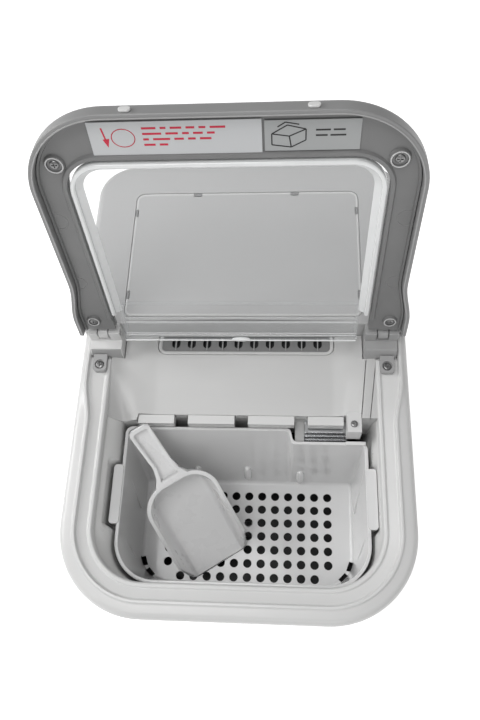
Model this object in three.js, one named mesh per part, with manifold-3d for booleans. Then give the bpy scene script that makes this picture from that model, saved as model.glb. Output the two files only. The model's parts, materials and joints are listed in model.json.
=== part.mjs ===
// Countertop ice maker with its lid open, an ice basket in the bay and a scoop in the basket.
// Millimetres, +Z up, +Y to the rear, origin under the middle of the housing on the table.
import * as THREE from "three";
import Module from "manifold-3d";

const wasm = await Module();
wasm.setup();

// ---------- driving dimensions ----------
const RIM = 312;            // height of the lid seat above the table
const HALF_W = 120.5;       // half of the housing width
const HALF_D = 173.5;       // half of the housing depth
const FRONT_R = 60;         // front corner radius of the housing
const REAR_R = 28;          // rear corner radius of the housing
const GAP = 0.3;            // clearance between separate pieces
const DECK_RISE = 13;       // rear deck top above the lid seat
const DECK_FRONT = 28.5;    // front face of the rear deck
const SHELL_TOP = -14.3;    // top of the housing wall, below the lid seat
const SHELL_WALL = 2.6;
const BASE_Z = 8;           // underside of the base pan
const PIVOT_Y = 23.3;       // lid hinge axis
const PIVOT_Z = 10.8;       // lid hinge axis above the lid seat
const LID_OPEN = 103.3;     // degrees from closed to the open stop
const LID_END = 15.2;       // hinge end of the lid arms when closed
const LID_LENGTH = 178;     // from the hinge end to the front edge
const LID_HALF = 109.9;     // half width of the lid
const LID_FLARE = 6;        // extra half width at the hinge end
const LID_THICK = 12.5;
const LID_SEAT = 0.5;       // lid edge above the lid seat when closed
const BASKET_X = 2.7;       // middle of the basket
const BASKET_RIM = -24.6;   // basket rim below the lid seat
const BASKET_FLOOR = -98;   // top of the basket floor below the lid seat
const HOLE_PITCH = 10.6;
const HOLE_R = 3.4;

const root = new THREE.Group();
root.name = "ice_maker";

// ---------- small helpers ----------
function closed(vertices, triangles) {
  let volume = 0;
  for (const [a, b, c] of triangles) {
    const [p, q, r] = [vertices[a], vertices[b], vertices[c]];
    volume += p[0] * (q[1] * r[2] - q[2] * r[1]);
    volume -= p[1] * (q[0] * r[2] - q[2] * r[0]);
    volume += p[2] * (q[0] * r[1] - q[1] * r[0]);
  }
  const outward = volume < 0 ? triangles.map(([a, b, c]) => [a, c, b]) : triangles;
  return new wasm.Manifold(new wasm.Mesh({
    numProp: 3,
    vertProperties: new Float32Array(vertices.flat()),
    triVerts: new Uint32Array(outward.flat()),
  }));
}

function capTriangles(loop, base) {
  const flat = loop.map(([x, y]) => new THREE.Vector2(x, y));
  const cap = THREE.ShapeUtils.triangulateShape(flat, []);
  return cap.map((t) => t.map((i) => i + base));
}

// Joins a list of loops with the same number of points. A ring joins the last loop to the first.
function loft(loops, ring = false) {
  const n = loops[0].length;
  const triangles = [];
  const steps = ring ? loops.length : loops.length - 1;
  for (let s = 0; s < steps; s += 1) {
    const a = s * n;
    const b = ((s + 1) % loops.length) * n;
    for (let i = 0; i < n; i += 1) {
      const j = (i + 1) % n;
      triangles.push([a + i, a + j, b + j], [a + i, b + j, b + i]);
    }
  }
  if (!ring) {
    const last = (loops.length - 1) * n;
    triangles.push(...capTriangles(loops[0], 0).map(([a, b, c]) => [a, c, b]));
    triangles.push(...capTriangles(loops[loops.length - 1], last));
  }
  return closed(loops.flat(), triangles);
}

// Rounded rectangle loop, counter-clockwise from the front left corner.
function roundRect(x0, x1, y0, y1, frontR, rearR, z, seg = 6) {
  const corners = [
    [x0 + frontR, y0 + frontR, frontR, 180],
    [x1 - frontR, y0 + frontR, frontR, 270],
    [x1 - rearR, y1 - rearR, rearR, 0],
    [x0 + rearR, y1 - rearR, rearR, 90],
  ];
  const loop = [];
  for (const [cx, cy, r, start] of corners) {
    for (let i = 0; i <= seg; i += 1) {
      const a = ((start + (90 * i) / seg) * Math.PI) / 180;
      loop.push([cx + r * Math.cos(a), cy + r * Math.sin(a), z]);
    }
  }
  return loop;
}

function housingLoop(inset, z, seg = 6) {
  const w = HALF_W - inset;
  const d = HALF_D - inset;
  return roundRect(-w, w, -d, d, FRONT_R - inset, Math.max(REAR_R - inset, 1), z, seg);
}

function box(x0, x1, y0, y1, z0, z1) {
  const low = [[x0, y0, z0], [x1, y0, z0], [x1, y1, z0], [x0, y1, z0]];
  const high = low.map(([x, y]) => [x, y, z1]);
  return loft([low, high]);
}

function disc(cx, cy, r, z0, z1, sides = 16) {
  const ringAt = (z) => Array.from({ length: sides }, (_, i) => {
    const a = (2 * Math.PI * i) / sides;
    return [cx + r * Math.cos(a), cy + r * Math.sin(a), z];
  });
  return loft([ringAt(z0), ringAt(z1)]);
}

// A disc whose axis runs along x, centred on (y, z).
function discX(x0, x1, cy, cz, r, sides = 16) {
  return disc(0, 0, r, x0, x1, sides).rotate([90, 0, 90]).translate([0, cy, cz]);
}

// A disc whose axis runs along y, centred on (x, z).
function discY(y0, y1, cx, cz, r, sides = 16) {
  return disc(0, 0, r, -y1, -y0, sides).rotate([90, 0, 0]).translate([cx, 0, cz]);
}

// A flat plate given by its side view in (y, z), from x0 to x1.
function sidePlate(x0, x1, points) {
  const at = (x) => points.map(([y, z]) => [y, z, x]);
  return loft([at(x0), at(x1)]).rotate([90, 0, 90]);
}

function sum(parts) {
  return parts.reduce((a, b) => a.add(b));
}

function publish(name, solid, colour) {
  const mesh = solid.getMesh();
  const stride = mesh.numProp;
  const count = mesh.vertProperties.length / stride;
  const positions = new Float32Array(count * 3);
  for (let i = 0; i < count; i += 1) {
    for (let k = 0; k < 3; k += 1) {
      positions[3 * i + k] = mesh.vertProperties[stride * i + k];
    }
  }
  const geometry = new THREE.BufferGeometry();
  geometry.setAttribute("position", new THREE.BufferAttribute(positions, 3));
  geometry.setIndex(new THREE.BufferAttribute(new Uint32Array(mesh.triVerts), 1));
  geometry.computeVertexNormals();
  const node = new THREE.Mesh(geometry, new THREE.MeshStandardMaterial({ color: colour }));
  node.name = name;
  root.add(node);
}

// Everything above the lid seat datum is built around z = 0 and lifted here.
function publishAtRim(name, solid, colour) {
  publish(name, solid.translate([0, 0, RIM]), colour);
}

// The lid is built closed and then turned to its open stop about the hinge axis.
function publishOnLid(name, solid, colour) {
  const toAxis = solid.translate([0, -PIVOT_Y, -PIVOT_Z]);
  const turned = toAxis.rotate([-LID_OPEN, 0, 0]);
  publishAtRim(name, turned.translate([0, PIVOT_Y, PIVOT_Z]), colour);
}

const WHITE = 0xe8e8e6;
const SILVER = 0x9a9c9e;
const STEEL = 0xb8bcc0;
const DARK = 0x2a2c2e;

// ---------- housing ----------
const SHELL_TAPER = 5.5;    // inset of the wall at its foot
const SHELL_LIP = 2.2;      // inset of the wall under the rim
const SHELL_FOOT = 11.5;    // height of the foot of the wall

function housingWall() {
  const top = RIM + SHELL_TOP;
  return loft([
    housingLoop(SHELL_TAPER, SHELL_FOOT),
    housingLoop(SHELL_LIP, top),
    housingLoop(SHELL_LIP + SHELL_WALL, top),
    housingLoop(SHELL_TAPER + SHELL_WALL, SHELL_FOOT),
  ], true);
}

const PANEL_Z = [252, 286];  // control panel height range
const PANEL_X = 58;          // half width of the control panel
const REAR_GRILLE = { x: 70, z0: 60, z1: 200 };
const SIDE_GRILLE = { y0: 20, y1: 120, z0: 60, z1: 170 };
const GLAND = { x: -88, z: 40, r: 9 };

function makeShell() {
  const cuts = sum([
    box(-PANEL_X, PANEL_X, -HALF_D - 5, -HALF_D + 20, PANEL_Z[0], PANEL_Z[1]),
    box(-REAR_GRILLE.x, REAR_GRILLE.x, HALF_D - 20, HALF_D + 5, REAR_GRILLE.z0, REAR_GRILLE.z1),
    box(-HALF_W - 5, -HALF_W + 20, SIDE_GRILLE.y0, SIDE_GRILLE.y1, SIDE_GRILLE.z0, SIDE_GRILLE.z1),
    box(HALF_W - 20, HALF_W + 5, SIDE_GRILLE.y0, SIDE_GRILLE.y1, SIDE_GRILLE.z0, SIDE_GRILLE.z1),
    discY(HALF_D - 20, HALF_D + 5, GLAND.x, GLAND.z, GLAND.r + GAP),
  ]);
  publish("housing_shell", housingWall().subtract(cuts), WHITE);
}

// Inset of the housing wall's outer face at a height above the table.
function wallInset(z) {
  const part = (z - SHELL_FOOT) / (RIM + SHELL_TOP - SHELL_FOOT);
  return SHELL_TAPER + (SHELL_LIP - SHELL_TAPER) * part;
}

function makeBase() {
  const rimLoop = (inset, z) => housingLoop(inset, z);
  const pan = loft([
    rimLoop(SHELL_TAPER + 1.5, BASE_Z),
    rimLoop(SHELL_TAPER, BASE_Z + 1.5),
    rimLoop(SHELL_TAPER, SHELL_FOOT - GAP),
    rimLoop(SHELL_TAPER + SHELL_WALL + 0.6, SHELL_FOOT - GAP),
    rimLoop(SHELL_TAPER + SHELL_WALL + 0.6, 20),
    rimLoop(SHELL_TAPER + SHELL_WALL + 2.6, 20),
    rimLoop(SHELL_TAPER + SHELL_WALL + 2.6, BASE_Z + 2.8),
  ]);
  const drainHole = disc(0, -95, 10.3, 0, 30, 16);
  publish("base_pan", pan.subtract(drainHole), WHITE);
  for (const [tag, x, y] of [["fl", -80, -125], ["fr", 80, -125], ["rl", -80, 135], ["rr", 80, 135]]) {
    const pad = disc(x, y, 11, 0, 4.5, 14).add(disc(x, y, 8, 4.4, BASE_Z - GAP, 14));
    publish(`foot_${tag}`, pad, DARK);
  }
}

// ---------- top rim, rear deck and chamber cover ----------
const RIM_PROFILE = [       // inset from the outer face and height at the lid seat datum
  [0, -14], [0, -7], [1.4, -3.4], [4.4, -1.2], [8.6, -0.5], [10.2, 0.1], [11.4, 0],
  [12.6, -2.2], [19.4, -3.8], [20.6, -2.9], [22.2, -3.2], [23.2, -5.4], [23.2, -9],
  [20.4, -9], [20.4, -6.6], [12, -5.2], [5.6, -4], [3, -7.2], [3, -14],
];

function makeRim() {
  const ring = loft(RIM_PROFILE.map(([inset, z]) => housingLoop(inset, z, 8)), true);
  const rear = box(-HALF_W - 1, HALF_W + 1, DECK_FRONT - GAP, HALF_D + 1, -30, 30);
  const leftSeat = hingeFoot(-1, GAP);
  const rightSeat = hingeFoot(1, GAP);
  publishAtRim("top_rim", ring.subtract(sum([rear, leftSeat, rightSeat])), WHITE);
}

const COVER_X = 88;         // half width of the rear top cover
const COVER_Y = [35, 145];

function makeDeck() {
  const outer = loft([
    housingLoop(0, -14), housingLoop(0, 3), housingLoop(1.2, 7.5),
    housingLoop(4, 11), housingLoop(9, DECK_RISE),
  ]);
  const inner = loft([housingLoop(3, -15), housingLoop(3, 2), housingLoop(9, 8.5)]);
  const pocket = box(-COVER_X, COVER_X, COVER_Y[0], COVER_Y[1], 10.6, 20);
  const front = box(-HALF_W - 1, HALF_W + 1, -HALF_D - 1, DECK_FRONT, -30, 30);
  const frontWall = box(-HALF_W + 4, HALF_W - 4, DECK_FRONT, DECK_FRONT + 3, -14, 9);
  const deck = outer.subtract(inner).subtract(front).add(frontWall).subtract(pocket);
  publishAtRim("rear_deck", deck, WHITE);
  const plate = box(-COVER_X + GAP, COVER_X - GAP, COVER_Y[0] + GAP, COVER_Y[1] - GAP, 10.6 + GAP, 12.6);
  const hooks = [];
  for (const x of [-38.5, 38.5]) {
    hooks.push(box(x - 3.2, x + 3.2, COVER_Y[1] - 5.5, COVER_Y[1] - 0.6, 12.5, 13.6));
  }
  for (const side of [-1, 1]) {
    for (const y of [53.3, 126.5]) {
      const x = side * (COVER_X - 2.6);
      hooks.push(box(x - 2, x + 2, y - 3, y + 3, 12.5, 13.6));
    }
  }
  publishAtRim("rear_cover", sum([plate, ...hooks]), WHITE);
}

const RAMP_X = 77;          // half width of the chamber floor
const CHAMBER_Y = [-31.5, 28];

function rampHeight(y) {
  const marks = [[-31.5, -16.2], [-10, -13.6], [4, -10.8], [13, -8.2], [13.8, -9.6], [26, -9.6], [28, -9.6]];
  for (let i = 1; i < marks.length; i += 1) {
    const [ya, za] = marks[i - 1];
    const [yb, zb] = marks[i];
    if (y <= yb) return za + ((zb - za) * (y - ya)) / (yb - ya);
  }
  return marks[marks.length - 1][1];
}

function chamberHeight(x, y) {
  const ramp = rampHeight(y);
  const side = Math.min(Math.max((Math.abs(x) - RAMP_X) / 11, 0), 1);
  return ramp + (-9.3 + 2.6 - ramp) * side;
}

function makeChamber() {
  const xs = [-96.8, -88, -82, -77, -64, 68, 77, 82, 88, 96.8];
  const ys = [-31.5, -10, 4, 13, 13.8, 28];
  const vertices = [];
  const triangles = [];
  const at = (i, j, low) => (low ? xs.length * ys.length : 0) + j * xs.length + i;
  for (const drop of [0, 2.4]) {
    for (const y of ys) {
      for (const x of xs) vertices.push([x, y, chamberHeight(x, y) - drop]);
    }
  }
  for (let j = 0; j + 1 < ys.length; j += 1) {
    for (let i = 0; i + 1 < xs.length; i += 1) {
      const [a, b, c, d] = [at(i, j), at(i + 1, j), at(i + 1, j + 1), at(i, j + 1)];
      triangles.push([a, b, c], [a, c, d]);
      const [e, f, g, h] = [at(i, j, 1), at(i + 1, j, 1), at(i + 1, j + 1, 1), at(i, j + 1, 1)];
      triangles.push([e, g, f], [e, h, g]);
    }
  }
  const border = [];
  for (let i = 0; i < xs.length; i += 1) border.push([i, 0]);
  for (let j = 1; j < ys.length; j += 1) border.push([xs.length - 1, j]);
  for (let i = xs.length - 2; i >= 0; i -= 1) border.push([i, ys.length - 1]);
  for (let j = ys.length - 2; j > 0; j -= 1) border.push([0, j]);
  for (let k = 0; k < border.length; k += 1) {
    const [p, q] = [border[k], border[(k + 1) % border.length]];
    triangles.push([at(p[0], p[1], 1), at(q[0], q[1], 1), at(q[0], q[1])]);
    triangles.push([at(p[0], p[1], 1), at(q[0], q[1]), at(p[0], p[1])]);
  }
  let cover = closed(vertices, triangles).subtract(hingeFoot(-1, GAP)).subtract(hingeFoot(1, GAP));
  for (let i = 0; i < 10; i += 1) {
    const x = 2.6 + (i - 4.5) * 11.9;
    cover = cover.subtract(box(x - 3, x - 0.5, 17, 26.4, -20, 0));
    cover = cover.subtract(box(x + 0.5, x + 3, 17, 26.4, -20, 0));
  }
  publishAtRim("chamber_cover", cover, WHITE);
}

// ---------- hinges ----------
const HINGE_X = [89, 112.6];   // inner and outer face of a hinge block
const HINGE_Y = [9.5, 28.2];
const HINGE_TOP = 5.6;
const EAR_X = [98, 105];       // lid ear inside the hinge block

function span(side, [a, b], grow = 0) {
  return side > 0 ? [a - grow, b + grow] : [-b - grow, -a + grow];
}

function hingeFoot(side, grow = 0) {
  const [x0, x1] = span(side, HINGE_X, grow);
  const [t0, t1] = span(side, [100.3, 110], grow);
  const block = box(x0, x1, HINGE_Y[0] - grow, HINGE_Y[1] + grow, -10 - grow, HINGE_TOP + grow);
  const support = box(x0, x1, 19.2 - grow, HINGE_Y[1] + grow, 0, 15.6);
  const tab = box(t0, t1, -3.8 - grow, 10, -3 - grow, 1);
  return sum([block, support, tab]);
}

function makeHinge(side, tag) {
  const [s0, s1] = span(side, EAR_X, 0.8);
  const slot = box(s0, s1, 15.4, HINGE_Y[1] + 1, 2, 20);
  const [h0, h1] = span(side, [HINGE_X[0] + 1.2, HINGE_X[1] - 1.2]);
  const bore = discX(h0, h1, PIVOT_Y, PIVOT_Z, 2.3);
  const screwX = side * 105.2;
  const screwHole = disc(screwX, 1.4, 1.6, -8, 2, 10);
  publishAtRim(`hinge_block_${tag}`, hingeFoot(side).subtract(sum([slot, bore, screwHole])), WHITE);
  const [p0, p1] = span(side, [HINGE_X[0] + 1.5, HINGE_X[1] - 1.5]);
  publishAtRim(`hinge_pin_${tag}`, discX(p0, p1, PIVOT_Y, PIVOT_Z, 2), STEEL);
  const screw = disc(screwX, 1.4, 3.2, 1.2, 2.4, 12).add(disc(screwX, 1.4, 1.3, -2.5, 1.3, 8));
  publishAtRim(`hinge_screw_${tag}`, screw, STEEL);
}

// ---------- lid ----------
const OPENING_X = 90.5;
const OPENING_R = 22;
const LID_FRONT = LID_END - LID_LENGTH;
const OPENING_FRONT = LID_END - 147.5;
const LID_BOSS_Z = 5.3;         // tip of the screw bosses in the closed lid
const LID_SCREWS = [           // side, x, y in the closed lid, boss radius, name
  [-1, 93, LID_END - 145, 5.4, "fl"], [1, 93, LID_END - 145, 5.4, "fr"],
  [-1, 104, LID_END - 10.4, 4, "rl"], [1, 104, LID_END - 10.4, 4, "rr"],
];

function lidLoop(inset, z, rear = LID_END) {
  const w = LID_HALF - inset;
  const r = 50 - inset;
  const front = LID_FRONT + inset;
  const loop = [];
  for (const [cx, start] of [[-w + r, 180], [w - r, 270]]) {
    for (let i = 0; i <= 7; i += 1) {
      const a = ((start + (90 * i) / 7) * Math.PI) / 180;
      loop.push([cx + r * Math.cos(a), front + r + r * Math.sin(a), z]);
    }
  }
  const flare = [[-36, 0], [-25, 1.2], [-10, 4.8], [0, LID_FLARE], [rear, LID_FLARE]];
  for (const [y, out] of flare) loop.push([w + out, y, z]);
  for (const [y, out] of flare.reverse()) loop.push([-w - out, y, z]);
  return loop;
}

function openingCut(grow, z0, z1, rear) {
  const x = OPENING_X + grow;
  const at = (z) => roundRect(-x, x, OPENING_FRONT - grow, rear, OPENING_R + grow, 1, z, 5);
  return loft([at(z0), at(z1)]);
}

function makeLid() {
  const top = LID_SEAT + LID_THICK;
  const shape = loft([
    lidLoop(0, LID_SEAT), lidLoop(0, top - 6), lidLoop(1.1, top - 3), lidLoop(3.2, top - 1), lidLoop(7, top),
  ]);
  const hollow = loft([
    lidLoop(3, LID_SEAT - 1, LID_END + 1), lidLoop(3, top - 5, LID_END + 1), lidLoop(6.5, top - 2.5, LID_END + 1),
  ]);
  let frame = shape.subtract(hollow).subtract(openingCut(0, -5, 20, LID_END + 5));
  for (const side of [-1, 1]) {
    const [x0, x1] = span(side, EAR_X);
    const web = box(x0, x1, LID_END - 6, PIVOT_Y, top - 2.6, top - 0.1);
    const ear = web.add(discX(x0, x1, PIVOT_Y, PIVOT_Z, 4.6));
    const bore = discX(x0 - 1, x1 + 1, PIVOT_Y, PIVOT_Z, 2.3);
    frame = frame.add(ear).subtract(bore);
  }
  publishOnLid("lid_frame", frame, SILVER);

  const linerTop = top - 4.7;
  const linerLow = top - 6.5;
  const plate = loft([lidLoop(4, linerLow, LID_END - 0.4), lidLoop(4, linerTop, LID_END - 0.4)]);
  const lipOuter = openingCut(2.2, linerLow - 1.8, linerTop, LID_END - 10);
  const bosses = [];
  for (const [side, x, y, r] of LID_SCREWS) {
    bosses.push(disc(side * x, y, r, LID_BOSS_Z, linerLow + 0.5, 12));
  }
  const liner = sum([plate, lipOuter, ...bosses]).subtract(openingCut(0, -5, 20, LID_END + 5));
  publishOnLid("lid_liner", liner, SILVER);
  for (const [side, x, y, , tag] of LID_SCREWS) {
    const screw = disc(side * x, y, 2.8, LID_BOSS_Z - 1.2, LID_BOSS_Z - GAP, 10);
    publishOnLid(`lid_screw_${tag}`, screw, STEEL);
  }
}

const WINDOW_Z = [8.6, 10.2];
const FLANGE_X = 82;          // half width of the window's turned-down hinge end

function makeWindow() {
  const x = OPENING_X + 3.2;
  const plateRear = LID_END - 24;
  const plate = loft(WINDOW_Z.map((z) => roundRect(-x, x, OPENING_FRONT - 3.2, plateRear, OPENING_R + 3, 1, z, 5)));
  const wallOut = (z) => roundRect(-88.4, 88.4, OPENING_FRONT + 2.2, plateRear - 1, OPENING_R - 2, 1, z, 5);
  const wallIn = (z) => roundRect(-85.6, 85.6, OPENING_FRONT + 5, plateRear + 5, OPENING_R - 5, 1, z, 5);
  const walls = loft([wallOut(3.4), wallOut(9)]).subtract(loft([wallIn(0), wallIn(20)]));
  const bend = sidePlate(-FLANGE_X, FLANGE_X, [
    [plateRear - 2, 8.6], [LID_END - 13, 8], [LID_END - 6, 5.2], [LID_END - 1.8, 1.4], [LID_END - 0.4, -2],
    [LID_END + 2, -2], [LID_END + 0.6, 2.6], [LID_END - 4, 7.2], [LID_END - 12, 10.2], [plateRear - 2, 10.2],
  ]);
  const cheeks = [-1, 1].map((side) => {
    const [x0, x1] = span(side, [FLANGE_X - 2.4, FLANGE_X]);
    return sidePlate(x0, x1, [
      [plateRear - 2, 9], [plateRear - 2, 4], [LID_END - 1, -2], [LID_END, -2], [LID_END - 3, 4], [LID_END - 12, 9],
    ]);
  });
  publishOnLid("lid_window", sum([plate, walls, bend, ...cheeks]), 0xdfe6ea);
}

function makeLidTrim() {
  const face = LID_SEAT + LID_THICK - 6.5 - GAP;
  const label = (name, x0, x1, v0, v1) => {
    publishOnLid(name, box(x0, x1, LID_END - v1, LID_END - v0, face - 0.6, face), WHITE);
  };
  label("label_left", -69.5, 21, 150.2, 170.5);
  label("label_right", 22.2, 71.5, 151.2, 169.5);
  for (const [tag, x] of [["left", -47], ["right", 47.3]]) {
    const bumper = box(x - 3.2, x + 3.2, LID_FRONT - 1.6, LID_FRONT - GAP, 2, 5.8);
    publishOnLid(`lid_bumper_${tag}`, bumper, WHITE);
  }
}

// ---------- bay liner, basket and scoop ----------
const LINER_DEPTH = -140;
const LINER_REAR = 26;
const LUG_Y = [-110.5, -68];

function makeLiner() {
  const loop = (x0, x1, y0, y1, r, z) => roundRect(x0, x1, y0, y1, r, 6, z);
  const tub = loft([
    loop(-86.5, 90.5, -148, LINER_REAR - 2, 26, LINER_DEPTH - 2.4),
    loop(-91.2, 96.8, -153.3, LINER_REAR, 31, -26),
    loop(-99.5, 99.5, -152.7, LINER_REAR, 36, -9.3),
    loop(-97.2, 97.2, -150.4, LINER_REAR - 2.4, 34, -9.3),
    loop(-89, 94.6, -151.1, LINER_REAR - 2.4, 29, -26),
    loop(-84.3, 88.3, -145.8, LINER_REAR - 4.4, 24, LINER_DEPTH),
  ]);
  const bossLeft = box(-97.4, -87, LUG_Y[0] - 5, LUG_Y[1] + 5, -50, -12);
  const pocketLeft = box(-95, -80, LUG_Y[0] - 2.5, LUG_Y[1] + 2.5, -47.6, 0);
  const bossRight = box(92, 100, LUG_Y[0] - 5, LUG_Y[1] + 5, -50, -12);
  const pocketRight = box(80, 97.7, LUG_Y[0] - 2.5, LUG_Y[1] + 2.5, -47.6, 0);
  const rearCut = box(-120, 120, CHAMBER_Y[0] - GAP, LINER_REAR + 5, -19, 5);
  const drain = disc(0, -95, 7.3, LINER_DEPTH - 10, LINER_DEPTH + 5, 12);
  const liner = tub.add(bossLeft).add(bossRight).subtract(sum([pocketLeft, pocketRight, rearCut, drain]));
  publishAtRim("bay_liner", liner, WHITE);
}

const BASKET_TOP = { x0: -86.3, x1: 91.6, y0: -149.4, yLeft: -38.9, yRight: -48.8 };
const BASKET_LOW = { x0: -84, x1: 87.6, y0: -146.5, yLeft: -61, yRight: -61 };
const JOG_X = 37;            // where the basket's back wall steps forward

function arc(cx, cy, r, start, z, seg = 6) {
  return Array.from({ length: seg + 1 }, (_, i) => {
    const a = ((start + (90 * i) / seg) * Math.PI) / 180;
    return [cx + r * Math.cos(a), cy + r * Math.sin(a), z];
  });
}

function basketLoop(part, inset, z) {
  const mix = (key) => BASKET_TOP[key] + (BASKET_LOW[key] - BASKET_TOP[key]) * part;
  const [x0, x1, y0] = [mix("x0") + inset, mix("x1") - inset, mix("y0") + inset];
  const [yLeft, yRight] = [mix("yLeft") - inset, mix("yRight") - inset];
  const front = 29 - 3 * part - inset;
  const rear = 4 - inset;
  return [
    ...arc(x0 + front, y0 + front, front, 180, z),
    ...arc(x1 - front, y0 + front, front, 270, z),
    ...arc(x1 - rear, yRight - rear, rear, 0, z, 3),
    [JOG_X + 3 - inset / 2, yRight, z],
    [JOG_X - 3 - inset / 2, yLeft, z],
    ...arc(x0 + rear, yLeft - rear, rear, 90, z, 3),
  ];
}

function makeBasket() {
  const wall = 2;
  let basket = loft([
    basketLoop(1, 0, BASKET_FLOOR - wall), basketLoop(0, 0, BASKET_RIM),
    basketLoop(0, wall, BASKET_RIM), basketLoop(1, wall, BASKET_FLOOR),
  ]);
  const lugs = [box(-92, -85.4, LUG_Y[0], LUG_Y[1], -44, -23), box(89.6, 96.2, LUG_Y[0], LUG_Y[1], -44, -23)];
  basket = sum([basket, ...lugs]);
  for (let row = 0; row < 7; row += 1) {
    const reach = row === 6 ? 5 : 6;
    for (let col = -reach; col <= reach; col += 1) {
      const x = BASKET_X + col * HOLE_PITCH;
      const y = -75 - row * HOLE_PITCH;
      basket = basket.subtract(disc(x, y, HOLE_R, BASKET_FLOOR - 4, BASKET_FLOOR + 1, 6));
    }
  }
  publishAtRim("ice_basket", basket, 0xdcdedf);
}

const SCOOP_LIP = [-20, -125];      // middle of the scoop lip on the basket floor
const SCOOP_HEADING = -57.5;        // degrees from +x of the handle-to-lip direction
const SCOOP_TILT = 34.5;            // degrees the handle is raised
const SCOOP_LIFT = 0.8;             // clearance under the lip
const SCOOP_BOWL = 88;
const SCOOP_HANDLE = 46;
const SCOOP_DEPTH = 24;

// Built level with the lip at the origin and the handle towards -x, then tilted and placed.
function makeScoop() {
  const half = 28.5;
  const back = -SCOOP_BOWL;
  const loopAt = (inset, z) => roundRect(-half + inset, half - inset, back + inset, 20, 19, 3, z, 5)
    .map(([x, y]) => [y, -x, z]);
  const outer = loft([loopAt(6, 0), loopAt(1.6, 5), loopAt(0, SCOOP_DEPTH)]);
  const inner = loft([loopAt(8, 2), loopAt(3.8, 6), loopAt(2, SCOOP_DEPTH + 1)]);
  const mouth = box(0, 90, -50, 50, -60, 90).rotate([0, -SCOOP_TILT, 0]);
  const handle = box(back - SCOOP_HANDLE, back + 3, -8, 8, SCOOP_DEPTH - 8, SCOOP_DEPTH);
  const hollow = box(back - SCOOP_HANDLE + 2, back - 1, -6, 6, SCOOP_DEPTH - 6, SCOOP_DEPTH + 1);
  const level = outer.add(handle).subtract(sum([inner, hollow, mouth]));
  const tilted = level.rotate([0, SCOOP_TILT, 0]).rotate([0, 0, SCOOP_HEADING]);
  publishAtRim("scoop", tilted.translate([SCOOP_LIP[0], SCOOP_LIP[1], BASKET_FLOOR + SCOOP_LIFT]), 0xd8d9d9);
}

// ---------- ice making parts ----------
const TOOTH_Z = [-23.8, -15.8];
const TEETH = [[-76, -49.4], [-39, -4.8], [5.2, 39], [48.8, 74.5]];
const TRAY_Y = -4;
const TRAY_Z = -60;
const TRAY_X = 62;

function makeShovel() {
  const teeth = TEETH.map(([x0, x1]) => box(x0, x1, -38.5, -32, TOOTH_Z[0], TOOTH_Z[1]));
  const arms = TEETH.map(([x0, x1]) => box(x0 + 4, x1 - 4, -33, 2, TOOTH_Z[0], TOOTH_Z[0] + 2.6));
  const bar = box(-76, 74.5, 0, 8, TOOTH_Z[0], TOOTH_Z[0] + 6);
  publishAtRim("ice_shovel", sum([...teeth, ...arms, bar]), WHITE);
  const rails = [-41.5, -37, -32.5, -28].map((z) => box(46.5, 78, -38, -28, z, z + 1.8));
  const post = box(70, 84, -30, -22, -46, TOOTH_Z[0] - GAP);
  publishAtRim("shovel_rails", sum([...rails, post]), STEEL);
  publishAtRim("sensor_block", box(76.3, 86.2, -46.4, -31.8, -22.6, -5), WHITE);
  publishAtRim("sensor_screw", disc(81, -40.5, 2.4, -4.7, -3.6, 10), STEEL);
}

function makeIceMachine() {
  const plate = box(-60, 60, -14, 12, -36, -31);
  const fingers = [];
  for (let i = 0; i < 8; i += 1) fingers.push(disc(-49 + 14 * i, TRAY_Y, 4, -66, -35, 10));
  const posts = [-47, 47].map((x) => box(x - 3, x + 3, 9.5, 12, -32, -11.9));
  publishAtRim("evaporator", sum([plate, ...fingers, ...posts]), STEEL);
  const side = [[-22, -46], [-24, -76], [16, -76], [14, -46]];
  const inside = [[-19.6, -45], [-21.4, -73.6], [13.4, -73.6], [11.6, -45]];
  const trough = sidePlate(-TRAY_X, TRAY_X, side).subtract(sidePlate(-TRAY_X + 2.2, TRAY_X - 2.2, inside));
  const stubs = [-1, 1].map((s) => {
    const [x0, x1] = span(s, [TRAY_X - 1, TRAY_X + 8]);
    return discX(x0, x1, TRAY_Y, TRAY_Z, 3, 10);
  });
  publishAtRim("water_tray", sum([trough, ...stubs]), WHITE);
  const sockets = [-1, 1].map((s) => {
    const [x0, x1] = span(s, [TRAY_X - 1, TRAY_X + 9]);
    return discX(x0, x1, TRAY_Y, TRAY_Z, 3.4, 10);
  });
  const motor = box(-86.4, -TRAY_X - 1, TRAY_Y - 13, TRAY_Y + 13, TRAY_Z - 13, TRAY_Z + 13);
  publishAtRim("tray_motor", motor.subtract(sockets[0]), DARK);
  const bracket = box(TRAY_X + 1, 89.6, TRAY_Y - 8, TRAY_Y + 8, TRAY_Z - 8, TRAY_Z + 8);
  publishAtRim("tray_bracket", bracket.subtract(sockets[1]), WHITE);
}

// ---------- machine compartment ----------
const FLOOR_Z = 11.1;         // top of the base pan plus clearance
const COMPRESSOR = { x: -42, y: 100, r: 50 };
const FAN = { y: 70, z: 115, r: 40 };
const DRAIN_Y = -95;

function makeCompressor() {
  const { x, y, r } = COMPRESSOR;
  const ringAt = (radius, z) => Array.from({ length: 20 }, (_, i) => {
    const a = (2 * Math.PI * i) / 20;
    return [x + radius * Math.cos(a), y + radius * Math.sin(a), z];
  });
  const can = loft([
    ringAt(r - 14, FLOOR_Z + 8), ringAt(r - 2, FLOOR_Z + 18), ringAt(r, FLOOR_Z + 40),
    ringAt(r, FLOOR_Z + 95), ringAt(r - 6, FLOOR_Z + 112), ringAt(r - 26, FLOOR_Z + 122),
  ]);
  const foot = box(x - 52, x + 52, y - 20, y + 20, FLOOR_Z, FLOOR_Z + 12);
  publish("compressor", can.add(foot), DARK);
}

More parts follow.
